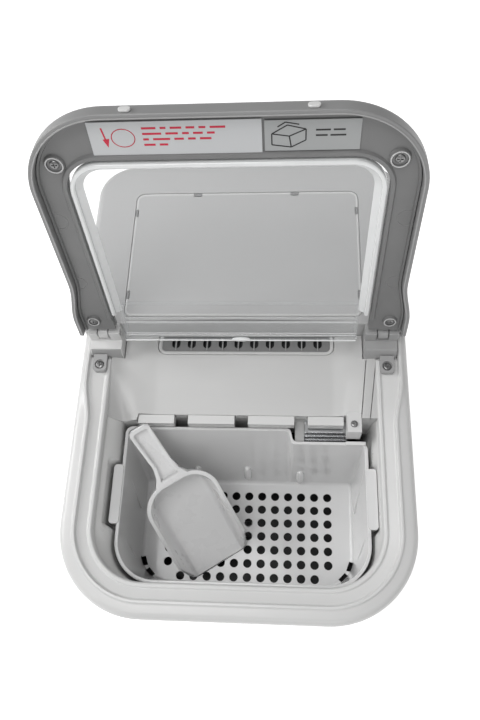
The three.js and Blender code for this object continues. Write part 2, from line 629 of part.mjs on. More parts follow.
function makeCondenser() {
  const fins = [];
  const { y, z } = FAN;
  for (let i = 0; i < 7; i += 1) {
    fins.push(box(88, 108, y - 44, y + 44, 66 + 15 * i, 68 + 15 * i));
  }
  const endA = box(88, 108, y - 46, y - 43, FLOOR_Z, z + 48);
  const endB = box(88, 108, y + 43, y + 46, FLOOR_Z, z + 48);
  publish("condenser", sum([...fins, endA, endB]), STEEL);
  const frame = box(70, 87.4, y - 46, y + 46, FLOOR_Z, z + 46);
  const bore = discX(69, 90, y, z, FAN.r + 3, 20);
  const strut = box(70, 73, y - 45, y + 45, z - 4, z + 4);
  const hub = discX(70, 76, y, z, 12, 12);
  const cavity = box(72, 95, y - 43, y + 43, FLOOR_Z + 4, z - FAN.r - 8);
  publish("fan_shroud", frame.subtract(bore).subtract(cavity).add(strut).add(hub), DARK);
  const blades = [];
  for (let i = 0; i < 5; i += 1) {
    const pitched = box(-4, 4, 8, FAN.r, -1, 1).rotate([0, 38, 0]).rotate([0, 0, 72 * i]);
    blades.push(pitched.rotate([90, 0, 90]).translate([81.6, y, z]));
  }
  publish("fan", sum([discX(76.5, 86, y, z, 11, 12), ...blades]), DARK);
}

function makePlumbing() {
  const z1 = RIM + LINER_DEPTH - 2.4;
  const tube = disc(0, DRAIN_Y, 7, 14, z1 + 1, 14).subtract(disc(0, DRAIN_Y, 5, 0, z1 + 9, 14));
  publish("drain_tube", tube, 0xcfd4d8);
  const cap = disc(0, DRAIN_Y, 10, 3.5, 10.8, 14).add(disc(0, DRAIN_Y, 4.6, 10.5, 24, 12));
  const grip = box(-7, 7, DRAIN_Y - 1.2, DRAIN_Y + 1.2, 1.2, 4);
  publish("drain_cap", cap.add(grip), DARK);
  const pump = box(26, 62, -80, -44, z1 - 34, z1 - GAP).add(disc(44, -62, 12, z1 - 44, z1 - 30, 14));
  publish("water_pump", pump, WHITE);
}

// ---------- controls, grilles and cord inlet ----------
const BUTTON_X = [-34, 34];
const BUTTON_Z = 269;
const BUTTON_R = 7;

function makeControls() {
  const face = -HALF_D + 1.9;
  const plate = box(-PANEL_X + GAP, PANEL_X - GAP, face, -166.4, PANEL_Z[0] + GAP, PANEL_Z[1] - GAP);
  const flange = box(-PANEL_X - 2, PANEL_X + 2, -167.7, -166.4, PANEL_Z[0] - 3, PANEL_Z[1] + 3);
  const holes = BUTTON_X.map((x) => discY(-180, -160, x, BUTTON_Z, BUTTON_R + GAP, 16));
  const recess = BUTTON_X.map((x) => discY(-169.2, -160, x, BUTTON_Z, BUTTON_R + 1.8, 16));
  const lensHole = box(-14.3, 14.3, -180, -160, BUTTON_Z - 4.3, BUTTON_Z + 4.3);
  publish("control_panel", plate.add(flange).subtract(sum([...holes, ...recess, lensHole])), DARK);
  ["power_button", "size_button"].forEach((name, i) => {
    const x = BUTTON_X[i];
    const key = discY(face - 1, -167, x, BUTTON_Z, BUTTON_R, 16);
    publish(name, key.add(discY(-168.8, -167, x, BUTTON_Z, BUTTON_R + 1.4, 16)), STEEL);
  });
  publish("indicator_lens", box(-14, 14, face, -166.6, BUTTON_Z - 4, BUTTON_Z + 4), 0x8fb5c9);
  const board = box(-54, 54, -163, -161.4, PANEL_Z[0] + 3, PANEL_Z[1] - 3);
  const stands = [-48, 48].map((x) => box(x - 3, x + 3, -166.1, -162, BUTTON_Z - 4, BUTTON_Z + 4));
  publish("control_board", board.add(stands[0]).add(stands[1]), 0x2f6b46);
}

function louvre(u0, u1, z0, z1, slots) {
  const pitch = (z1 - z0 - 8) / slots;
  return Array.from({ length: slots }, (_, i) => [u0 + 8, u1 - 8, z0 + 6 + i * pitch, z0 + 6 + (i + 0.5) * pitch]);
}

function makeGrilles() {
  const { x, z0, z1 } = REAR_GRILLE;
  const y = HALF_D - 5.2;
  const plate = box(-x + GAP, x - GAP, 163.6, y, z0 + GAP, z1 - GAP);
  const flange = box(-x - 3, x + 3, 163.6, 165.6, z0 - 3, z1 + 3);
  const slots = louvre(-x, x, z0, z1, 9).map(([a, b, c, d]) => box(a, b, 150, 180, c, d));
  publish("rear_grille", plate.add(flange).subtract(sum(slots)), WHITE);
  const { y0, y1, z0: s0, z1: s1 } = SIDE_GRILLE;
  for (const [tag, side] of [["left", -1], ["right", 1]]) {
    const [a, b] = span(side, [110.4, HALF_W - 5.2]);
    const [c, d] = span(side, [110.4, 112.5]);
    const body = box(a, b, y0 + GAP, y1 - GAP, s0 + GAP, s1 - GAP).add(box(c, d, y0 - 3, y1 + 3, s0 - 3, s1 + 3));
    const cuts = louvre(y0, y1, s0, s1, 7).map(([u, v, w, q]) => box(a - 5, b + 5, u, v, w, q));
    publish(`side_grille_${tag}`, body.subtract(sum(cuts)), WHITE);
  }
  const gland = discY(156, 171, GLAND.x, GLAND.z, GLAND.r - 1, 14);
  const collar = discY(168.7, 172, GLAND.x, GLAND.z, GLAND.r + 2.5, 14);
  publish("cord_gland", gland.add(collar), DARK);
}

makeShell();
makeBase();
makeRim();
makeDeck();
makeChamber();
makeHinge(-1, "left");
makeHinge(1, "right");
makeLid();
makeWindow();
makeLidTrim();
makeLiner();
makeBasket();
makeScoop();
makeShovel();
makeIceMachine();
makeCompressor();
makeCondenser();
makePlumbing();
makeControls();
makeGrilles();

export default root;
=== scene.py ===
"""Countertop ice maker with its lid open: the fine pieces, materials, lights and camera.

Lengths in this script are millimetres in the part's own frame (+Z up, +Y to the rear),
and make() turns them into metres. Heights marked "at rim" count from the lid seat.
"""
import json
import math

import bmesh
import bpy
from mathutils import Matrix, Vector

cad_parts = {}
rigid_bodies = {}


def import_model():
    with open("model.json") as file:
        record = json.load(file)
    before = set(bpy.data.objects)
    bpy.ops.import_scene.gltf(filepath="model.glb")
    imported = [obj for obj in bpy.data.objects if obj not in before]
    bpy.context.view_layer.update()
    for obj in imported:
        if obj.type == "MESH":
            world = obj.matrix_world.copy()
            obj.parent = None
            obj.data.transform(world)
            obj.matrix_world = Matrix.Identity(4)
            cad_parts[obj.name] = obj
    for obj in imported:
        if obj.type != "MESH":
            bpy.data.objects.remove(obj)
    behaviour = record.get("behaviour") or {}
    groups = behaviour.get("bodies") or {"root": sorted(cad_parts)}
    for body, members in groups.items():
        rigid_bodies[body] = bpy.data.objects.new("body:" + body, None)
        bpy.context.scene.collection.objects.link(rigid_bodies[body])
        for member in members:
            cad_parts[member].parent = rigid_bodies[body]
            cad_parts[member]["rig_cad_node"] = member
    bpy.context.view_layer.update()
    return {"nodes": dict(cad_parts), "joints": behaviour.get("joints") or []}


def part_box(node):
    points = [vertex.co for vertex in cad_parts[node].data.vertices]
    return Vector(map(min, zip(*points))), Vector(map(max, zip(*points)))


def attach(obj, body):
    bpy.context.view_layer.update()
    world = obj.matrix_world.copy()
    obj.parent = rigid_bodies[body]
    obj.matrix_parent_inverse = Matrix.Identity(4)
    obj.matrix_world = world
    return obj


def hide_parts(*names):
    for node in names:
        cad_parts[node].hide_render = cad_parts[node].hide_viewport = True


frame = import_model()

# ---------- driving dimensions ----------
MM = 0.001
HALF_W = 120.5              # half width of the housing
HALF_D = 173.5              # half depth of the housing
FRONT_R = 60.0
REAR_R = 28.0
DECK_RISE = 13.0            # rear deck above the lid seat
DECK_FRONT = 28.5
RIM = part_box("rear_deck")[1].z / MM - DECK_RISE
SHELL_TOP = -14.3
SHELL_FOOT = 11.5
LID_HALF = 109.9
LID_END = 15.2
LID_LENGTH = 178.0
LID_FLARE = 6.0
LINER_FACE = 6.5            # liner face above the lid seat when the lid is shut
OPENING_X = 90.5
OPENING_R = 22.0
OPENING_V = 147.5           # window opening, from the hinge end
BASKET_RIM = -24.6
BASKET_FLOOR = -98.0
BASKET_X = 2.7
HOLE_PITCH = 10.6
HOLE_R = 3.35
JOG_X = 37.0
LUG_Y = (-110.5, -68.0)
HINGE_X = 100.7             # middle of a hinge block
HINGE_TAB = (105.2, 1.4)    # screw of the strip in front of it
BUTTON_X = 34
BUTTON_Z = 269
BEVEL_STEPS = 2

hinge = next(j for j in frame["joints"] if j["name"] == "lid_hinge")
PIVOT = Vector(hinge["pos_m"])
LID_TURN = (Matrix.Translation(PIVOT)
            @ Matrix.Rotation(math.radians(hinge["range_deg"][0]), 4, "X")
            @ Matrix.Translation(-PIVOT))


# ---------- outlines ----------
def smooth(t):
    t = min(max(t, 0.0), 1.0)
    return t * t * (3 - 2 * t)


def arc(cx, cy, r, start, seg, sweep=90.0):
    """Points of a circular arc, start and sweep in degrees."""
    angles = [math.radians(start + sweep * i / seg) for i in range(seg + 1)]
    return [(cx + r * math.cos(a), cy + r * math.sin(a)) for a in angles]


def circle(cx, cy, r):
    return arc(cx, cy, r, 0, 31, 360 * 31 / 32)


def rounded(corners, closed=True, seg=5):
    """An outline through corners given as (x, y, radius), with each corner turned into an arc."""
    out = []
    count = len(corners)
    for i, (x, y, r) in enumerate(corners):
        if r <= 0 or (not closed and i in (0, count - 1)):
            out.append((x, y))
            continue
        p = Vector((x, y))
        a = Vector(corners[i - 1][:2]) - p
        b = Vector(corners[(i + 1) % count][:2]) - p
        half = a.angle(b) / 2
        reach = min(r / math.tan(half), 0.48 * a.length, 0.48 * b.length)
        r = reach * math.tan(half)
        a.normalize()
        b.normalize()
        centre = p + (a + b).normalized() * (r / math.sin(half))
        first = p + a * reach - centre
        last = p + b * reach - centre
        start = math.atan2(first.y, first.x)
        turn = (math.atan2(last.y, last.x) - start + math.pi) % (2 * math.pi) - math.pi
        for k in range(seg + 1):
            angle = start + turn * k / seg
            out.append((centre.x + r * math.cos(angle), centre.y + r * math.sin(angle)))
    return out


def rect(x0, x1, y0, y1, front_r, rear_r=None, seg=12):
    """A rounded rectangle, counter-clockwise from its left side."""
    rear_r = front_r if rear_r is None else rear_r
    return (arc(x0 + front_r, y0 + front_r, front_r, 180, seg)
            + arc(x1 - front_r, y0 + front_r, front_r, 270, seg)
            + arc(x1 - rear_r, y1 - rear_r, rear_r, 0, seg)
            + arc(x0 + rear_r, y1 - rear_r, rear_r, 90, seg))


def housing_outline(inset):
    w, d = HALF_W - inset, HALF_D - inset
    return rect(-w, w, -d, d, FRONT_R - inset, max(REAR_R - inset, 1.0), 20)


def rear_outline(inset, front=DECK_FRONT):
    w, d, r = HALF_W - inset, HALF_D - inset, max(REAR_R - inset, 1.0)
    return [(-w, front), (w, front)] + arc(w - r, d - r, r, 0, 20) + arc(-w + r, d - r, r, 90, 20)


def u_outline(inset, spread=0.0, y_end=DECK_FRONT - 0.3):
    """The housing outline in front of the deck, wider by spread beside the hinges."""
    w, d, r = HALF_W - inset, HALF_D - inset, FRONT_R - inset
    sides = [y_end + (-60.0 - y_end) * i / 24 for i in range(25)] + [-85.0]
    wider = [spread * smooth((y + 43.0) / 34.0) for y in sides]
    left = [(-w - s, y) for y, s in zip(sides, wider)]
    right = [(w + s, y) for y, s in reversed(list(zip(sides, wider)))]
    return left + arc(-w + r, -d + r, r, 180, 24) + arc(w - r, -d + r, r, 270, 24) + right


def level(outline, z):
    return [(x, y, z) for x, y in outline]


# ---------- skins: a list of points and a list of faces ----------
def skin(loops, ring=False, open_path=False):
    """Joins loops of equal length: capped at both ends, or closed on itself as a ring."""
    n, m = len(loops[0]), len(loops)
    points = [p for loop in loops for p in loop]
    faces = []
    for s in range(m if ring else m - 1):
        a, b = s * n, (s + 1) % m * n
        for i in range(n - 1 if open_path else n):
            j = (i + 1) % n
            faces.append((a + i, a + j, b + j, b + i))
    if open_path:
        faces.append(tuple(s * n for s in range(m)))
        faces.append(tuple(s * n + n - 1 for s in reversed(range(m))))
    elif not ring:
        faces.append(tuple(reversed(range(n))))
        faces.append(tuple(range((m - 1) * n, m * n)))
    return points, faces


def slab(outline, z0, z1):
    return skin([level(outline, z0), level(outline, z1)])


def block(x0, x1, y0, y1, z0, z1):
    return slab([(x0, y0), (x1, y0), (x1, y1), (x0, y1)], z0, z1)


def lathe(profile, centre=(0, 0, 0), axis="Z", sides=32):
    """A turned solid: profile is (radius, height) from one end to the other."""
    turn = {"Z": Matrix.Identity(3), "X": Matrix.Rotation(math.pi / 2, 3, "Y"),
            "Y": Matrix.Rotation(math.pi / 2, 3, "X")}[axis]
    loops = []
    for r, h in profile:
        ring = []
        for i in range(sides):
            a = 2 * math.pi * i / sides
            ring.append(tuple(turn @ Vector((r * math.cos(a), r * math.sin(a), h)) + Vector(centre)))
        loops.append(ring)
    return skin(loops)


def side_slab(x0, x1, outline):
    """A plate whose side view is outline, in (y, z)."""
    return skin([[(x, y, z) for y, z in outline] for x in (x0, x1)])


def moved(part, matrix):
    points, faces = part
    return [tuple(matrix @ Vector(p)) for p in points], faces


def lifted(part):
    """A part drawn at rim, moved up to its place."""
    return [(x, y, z + RIM) for x, y, z in part[0]], part[1]


# ---------- making pieces ----------
def mesh_of(name, parts):
    bm = bmesh.new()
    for points, faces in parts:
        verts = [bm.verts.new(Vector(p) * MM) for p in points]
        for face in faces:
            bm.faces.new([verts[i] for i in face])
    bmesh.ops.remove_doubles(bm, verts=bm.verts, dist=1e-7)
    bmesh.ops.recalc_face_normals(bm, faces=bm.faces)
    mesh = bpy.data.meshes.new(name)
    bm.to_mesh(mesh)
    bm.free()
    return mesh


def combine(obj, parts, operation):
    """Joins or cuts obj with each solid in parts."""
    tool = bpy.data.objects.new("tool", mesh_of("tool", parts))
    bpy.context.collection.objects.link(tool)
    modifier = obj.modifiers.new("combine", "BOOLEAN")
    modifier.operation = operation
    modifier.solver = "EXACT"
    modifier.use_self = True
    modifier.object = tool
    bpy.context.view_layer.update()
    graph = bpy.context.evaluated_depsgraph_get()
    made = bpy.data.meshes.new_from_object(obj.evaluated_get(graph))
    obj.modifiers.clear()
    obj.data = made
    bpy.data.objects.remove(tool)


def finish(obj, material, bevel=0.0, angle=32.0):
    """Material, softened edges and even shading, for a made piece or a CAD node."""
    made_here = "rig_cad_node" not in obj
    if made_here:
        obj.data.materials.clear()
        obj.data.shade_smooth()
    for slot in obj.material_slots:
        slot.material = material
    if not obj.data.materials:
        obj.data.materials.append(material)
    if bevel:
        rounder = obj.modifiers.new("edges", "BEVEL")
        rounder.width = bevel * MM
        rounder.segments = BEVEL_STEPS
        rounder.limit_method = "ANGLE"
        rounder.angle_limit = math.radians(angle)
        rounder.harden_normals = False
    even = obj.modifiers.new("shading", "WEIGHTED_NORMAL")
    even.keep_sharp = False
    even.weight = 80


def make(name, parts, body, material, replaces=(), joins=(), cuts=(), on_lid=False,
         bevel=0.0, angle=32.0):
    """A named piece that rides on a body. With on_lid it is drawn on the shut lid and turned open."""
    obj = bpy.data.objects.new(name, mesh_of(name, parts))
    bpy.context.collection.objects.link(obj)
    if joins:
        combine(obj, joins, "UNION")
    if cuts:
        combine(obj, cuts, "DIFFERENCE")
    if on_lid:
        obj.data.transform(LID_TURN)
    finish(obj, material, bevel, angle)
    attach(obj, body)
    if replaces:
        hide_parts(*replaces)
    return obj


# ---------- materials ----------
def new_material(name, colour, rough, **values):
    mat = bpy.data.materials.new(name)
    mat.use_nodes = True
    shader = mat.node_tree.nodes["Principled BSDF"]
    shader.inputs["Base Color"].default_value = (*colour, 1)
    shader.inputs["Roughness"].default_value = rough
    for key, value in values.items():
        shader.inputs[key.replace("_", " ")].default_value = value
    return mat, mat.node_tree, shader


def noise(tree, scale, detail=3.0, stretch=None):
    place = tree.nodes.new("ShaderNodeTexCoord")
    texture = tree.nodes.new("ShaderNodeTexNoise")
    texture.inputs["Scale"].default_value = scale
    texture.inputs["Detail"].default_value = detail
    source = place.outputs["Object"]
    if stretch:
        mapping = tree.nodes.new("ShaderNodeMapping")
        mapping.inputs["Scale"].default_value = stretch
        tree.links.new(source, mapping.inputs["Vector"])
        source = mapping.outputs["Vector"]
    tree.links.new(source, texture.inputs["Vector"])
    return texture.outputs["Fac"]


def ranged(tree, value, low, high):
    node = tree.nodes.new("ShaderNodeMapRange")
    node.inputs["From Min"].default_value = 0.3
    node.inputs["From Max"].default_value = 0.7
    node.inputs["To Min"].default_value = low
    node.inputs["To Max"].default_value = high
    tree.links.new(value, node.inputs["Value"])
    return node.outputs["Result"]


def tinted(tree, factor, first, second):
    mix = tree.nodes.new("ShaderNodeMix")
    mix.data_type = "RGBA"
    mix.inputs["A"].default_value = (*first, 1)
    mix.inputs["B"].default_value = (*second, 1)
    tree.links.new(factor, mix.inputs["Factor"])
    return mix.outputs["Result"]


def surface(name, colour, rough, mottle=0.03, grain=900.0, depth=0.00002, strength=0.25, stretch=None,
            **values):
    """Moulded or metal surface: faint colour mottling, uneven gloss and a fine moulded grain."""
    mat, tree, shader = new_material(name, colour, rough, **values)
    dark = tuple(c * (1 - mottle) for c in colour)
    light = tuple(min(c * (1 + mottle), 1) for c in colour)
    blotch = ranged(tree, noise(tree, 28.0, 4.0, stretch), 0.0, 1.0)
    tree.links.new(tinted(tree, blotch, dark, light), shader.inputs["Base Color"])
    gloss = ranged(tree, noise(tree, 75.0, 3.0, stretch), rough * 0.93, rough * 1.07)
    tree.links.new(gloss, shader.inputs["Roughness"])
    bump = tree.nodes.new("ShaderNodeBump")
    bump.inputs["Strength"].default_value = strength
    bump.inputs["Distance"].default_value = depth
    tree.links.new(noise(tree, grain, 2.0, stretch), bump.inputs["Height"])
    tree.links.new(bump.outputs["Normal"], shader.inputs["Normal"])
    return mat


WHITE = surface("white_moulding", (0.72, 0.72, 0.715), 0.32, mottle=0.008)
# The rear deck and its plate are the same white plastic as the shell, made greyer here as painted shade
# behind the open lid.
DECK_SHADED_WHITE = surface("deck_painted_shade", (0.55, 0.55, 0.55), 0.34, mottle=0.008)
RIM_WHITE = surface("rim_moulding", (0.71, 0.71, 0.705), 0.3, mottle=0.008)
CHAMBER = surface("chamber_moulding", (0.60, 0.60, 0.595), 0.46, mottle=0.008)
# Dark grey for the vent panel, as painted shade in its recess, and for the small hooks on the rear plate.
VENT_SHADE_AND_HOOK_GREY = surface("vent_shade_and_hook_grey", (0.27, 0.27, 0.27), 0.45)
SILVER = surface("lid_paint", (0.21, 0.21, 0.21), 0.42, mottle=0.06, grain=2200.0)
SILVER_EDGE = surface("lid_paint_edge", (0.27, 0.27, 0.27), 0.38, mottle=0.04)
LID_LIGHT = surface("lid_light_edge", (0.62, 0.62, 0.62), 0.3, mottle=0.03)
BASKET = surface("basket_moulding", (0.74, 0.74, 0.74), 0.11, mottle=0.02)
SCOOP = surface("scoop_moulding", (0.86, 0.86, 0.86), 0.28, mottle=0.006)
LIGHT_GREY = surface("hinge_grey", (0.40, 0.40, 0.40), 0.38)
DARK = surface("dark_moulding", (0.035, 0.036, 0.038), 0.38, mottle=0.12)
PANEL = surface("panel_gloss", (0.02, 0.021, 0.023), 0.16, mottle=0.1, Coat_Weight=0.4)
RUBBER = surface("foot_rubber", (0.022, 0.022, 0.022), 0.78, mottle=0.2, grain=500.0, depth=0.00008)
STEEL = surface("brushed_metal", (0.62, 0.63, 0.64), 0.26, mottle=0.08, grain=420.0, depth=0.00003,
                stretch=(0.08, 1.0, 1.0), Metallic=1.0)
SCREW = surface("screw_metal", (0.27, 0.27, 0.27), 0.34, mottle=0.1, Metallic=1.0)
BOARD = surface("board_green", (0.02, 0.11, 0.045), 0.4, mottle=0.25, grain=350.0)
STICKER = surface("label_film", (0.60, 0.61, 0.62), 0.36, mottle=0.02)
STICKER_DARK = surface("label_film_grey", (0.40, 0.41, 0.41), 0.38, mottle=0.02)
RED_INK = surface("red_ink", (0.62, 0.015, 0.05), 0.45, mottle=0.1)
BLACK_INK = surface("black_ink", (0.02, 0.02, 0.02), 0.45, mottle=0.1)
BAND = surface("window_edge", (0.86, 0.87, 0.87), 0.12, mottle=0.02, Coat_Weight=0.5)
CLEAR = surface("window_clear", (0.80, 0.82, 0.83), 0.05, mottle=0.01, depth=0.000004, Alpha=0.10)
BEND = surface("window_bend", (0.74, 0.76, 0.77), 0.06, mottle=0.02, depth=0.000006, Alpha=0.10)
LENS = surface("lens_clear", (0.10, 0.22, 0.26), 0.08, mottle=0.05, Coat_Weight=0.6)


def make_bay_shade_material():
    """White moulding, near black towards the bottom: painted shade in the sump below the basket."""
    mat, tree, shader = new_material("bay_painted_shade", (0.74, 0.74, 0.73), 0.34)
    place = tree.nodes.new("ShaderNodeTexCoord")
    split = tree.nodes.new("ShaderNodeSeparateXYZ")
    tree.links.new(place.outputs["Object"], split.inputs[0])
    height = tree.nodes.new("ShaderNodeMapRange")
    height.inputs["From Min"].default_value = (RIM + BASKET_FLOOR - 8) * MM
    height.inputs["From Max"].default_value = (RIM + BASKET_FLOOR + 22) * MM
    tree.links.new(split.outputs["Z"], height.inputs["Value"])
    # Near black low down and white above: painted shade under the basket.
    base = tinted(tree, height.outputs["Result"], (0.012, 0.012, 0.013), (0.78, 0.78, 0.77))
    tree.links.new(base, shader.inputs["Base Color"])
    tree.links.new(ranged(tree, noise(tree, 75.0), 0.27, 0.38), shader.inputs["Roughness"])
    return mat


BAY_WITH_SHADE = make_bay_shade_material()


# ---------- housing ----------
def make_shell():
    outer = [(5.5, SHELL_FOOT), (2.2, RIM + SHELL_TOP)]
    inner = [(4.8, RIM + SHELL_TOP), (8.1, SHELL_FOOT)]
    shell = skin([level(housing_outline(i), z) for i, z in outer + inner], ring=True)
    cuts = [
        moved(slab(rect(-58, 58, 252, 286, 6, seg=6), -20, 20), Matrix.Translation((0, -HALF_D, 0))
              @ Matrix.Rotation(math.pi / 2, 4, "X")),
        block(-70, 70, HALF_D - 20, HALF_D + 5, 60, 200),
        block(-HALF_W - 5, -HALF_W + 20, 20, 120, 60, 170),
        block(HALF_W - 20, HALF_W + 5, 20, 120, 60, 170),
        lathe([(9.3, -HALF_D - 5), (9.3, -HALF_D + 20)], (-88, 0, 40), "Y"),
    ]
    make("housing_wall", [shell], "housing", WHITE, ["housing_shell"], cuts=cuts, bevel=0.5)


def make_base():
    steps = [(7, 8), (5.5, 9.5), (5.5, 11.2), (8.7, 11.2), (8.7, 20), (10.7, 20), (10.7, 10.8)]
    pan = skin([level(housing_outline(i), z) for i, z in steps])
    hole = lathe([(10.3, 0), (10.3, 30)], (0, -95, 0))
    make("base_tray", [pan], "housing", WHITE, ["base_pan"], cuts=[hole], bevel=0.3)
    profile = [(8.6, 0), (10.6, 0.7), (11, 1.6), (11, 3.4), (10.2, 4.5), (8, 4.7), (8, 7.7)]
    groove = [(4, -1), (4, 0.9), (6.5, 0.9), (6.5, -1)]
    for tag, x, y in (("fl", -80, -125), ("fr", 80, -125), ("rl", -80, 135), ("rr", 80, 135)):
        ring = skin([level(circle(x, y, r), z) for r, z in groove], ring=True)
        make(f"foot_pad_{tag}", [lathe(profile, (x, y, 0))], "housing", RUBBER,
             [f"foot_{tag}"], cuts=[ring], bevel=0.25)


RIM_PROFILE = [             # inset, height at rim, corner radius
    (0, -14, 0.5), (0, -1.8, 6.5), (9.2, -0.7, 2), (10.1, 0.1, 0.5), (11.6, 0.1, 0.6), (12.6, -2.4, 1.2),
    (19.2, -3.9, 0.8), (20.3, -2.9, 0.6), (22.3, -3.1, 1.2), (23.2, -5.6, 1.2), (23.2, -9, 0.3),
    (20.4, -9, 0.3), (20.4, -6.6, 0.3), (12, -5.2, 0.3), (5.6, -4, 0.3), (3, -7.2, 0.3), (3, -14, 0.3),
]


def hinge_seats():
    """Clears the rim and the chamber floor where the hinge blocks stand."""
    return [block(s * HINGE_X - 12.3, s * HINGE_X + 12.3, 9.2, 40, RIM - 20, RIM + 20) for s in (-1, 1)]


def make_rim():
    loops = []
    for inset, z in rounded(RIM_PROFILE, seg=4):
        spread = 5.0 * smooth((inset - 5) / 4) * smooth((20 - inset) / 5)
        loops.append(level(u_outline(inset, spread), RIM + z))
    ring = skin(loops, ring=True, open_path=True)
    make("rim", [ring], "housing", RIM_WHITE, ["top_rim"], cuts=hinge_seats())


def make_deck():
    steps = rounded([(0, -14, 0.5), (0, DECK_RISE, 10.5), (13, DECK_RISE, 0)], closed=False, seg=8)
    loops = [level(rear_outline(i, DECK_FRONT + min(i * 0.12, 1.2)), RIM + z) for i, z in steps]
    pocket = slab(rect(-88, 88, 35, 145, 5, 7, 8), RIM + 10.6, RIM + 20)
    # Deck and plate take the greyer material: painted shade behind the lid.
    make("rear_top", [skin(loops)], "housing", DECK_SHADED_WHITE, ["rear_deck"], cuts=[pocket],
         bevel=0.5)
    plate = slab(rect(-87.6, 87.6, 35.4, 144.6, 4.6, 6.6, 8), RIM + 10.9, RIM + 12.5)
    spots = [(-38.5, 143.2, 3.4, 1.5), (38.5, 143.2, 3.4, 1.5)]
    spots += [(s * 86.4, y, 1.3, 3.4) for s in (-1, 1) for y in (53.3, 126.5)]
    notches = [block(x - a, x + a, y - b, y + b, RIM + 8, RIM + 20) for x, y, a, b in spots]
    make("rear_plate", [plate], "housing", DECK_SHADED_WHITE, ["rear_cover"], cuts=notches, bevel=0.4)
    # A thin lighter ring along the plate's edge: a painted highlight on its bevel.
    edge = skin([level(rect(-87.4 + i, 87.4 - i, 35.6 + i, 144.4 - i, 4.6 - i, 6.6 - i, 8), RIM + z)
                 for i, z in ((0, 12.2), (0, 12.64), (1.5, 12.64), (1.5, 12.2))], ring=True)
    make("rear_plate_edge_highlight", [edge], "housing", WHITE, cuts=notches)
    hooks = [block(x - a + 0.7, x + a - 0.7, y - b + 0.5, y + b - 0.5, RIM + 10.7, RIM + 12.9)
             for x, y, a, b in spots]
    make("rear_hooks", hooks, "housing", VENT_SHADE_AND_HOOK_GREY, bevel=0.25)


# ---------- ice chamber floor ----------
def ramp_height(y):
    marks = [(-36.5, -16.9), (-31.5, -16.2), (-10, -13.6), (4, -10.8), (13, -8.2), (40, -6.4)]
    for (ya, za), (yb, zb) in zip(marks, marks[1:]):
        if y <= yb:
            return za + (zb - za) * (y - ya) / (yb - ya)
    return marks[-1][1]


def chamber_height(x, y):
    """Height at rim of the chamber floor, its side walls and the cheeks."""
    floor = ramp_height(y)
    part = min(max((5.8 - y) / 41.8, -0.54), 1.0)
    fall = max(part, 0) ** 1.5
    marks = [(-130, -4.6), (-100.5, -4.6), (-99 + 2 * fall, -4.4 - 4.6 * fall),
             (-97 + 9.5 * fall, -4 - 17 * fall),
             (-89.4 + 11.4 * max(part, 0), -6.6 - 8.2 * max(part, 0)),
             (-72, floor + 1.2), (-64, floor), (68, floor), (75, floor + 1.6),
             (88 - 4 * part, -5.4), (91 - 4 * part, -4.2), (100.5, -4.6), (130, -4.6)]
    for (xa, za), (xb, zb) in zip(marks, marks[1:]):
        if x <= xb:
            return za + (zb - za) * (x - xa) / (xb - xa)
    return marks[-1][1]


def seam_cuts():
    """Thin grooves either side of the trim strip on the right."""
    cuts = []
    for (xa, ya), (xb, yb) in (((91, 8.6), (86.2, -36.4)), ((98.2, 8.6), (90.5, -50.0))):
        along = Vector((xb - xa, yb - ya)).normalized()
        across = Vector((-along.y, along.x)) * 0.28
        outline = [(xa + across.x, ya + across.y), (xa - across.x, ya - across.y),
                   (xb - across.x, yb - across.y), (xb + across.x, yb + across.y)]
        cuts.append(slab(outline[::-1], RIM - 8.4, RIM + 4))
    return cuts


SLOT_X = [2.6 + (i - 4.5) * 11.9 for i in range(10)]


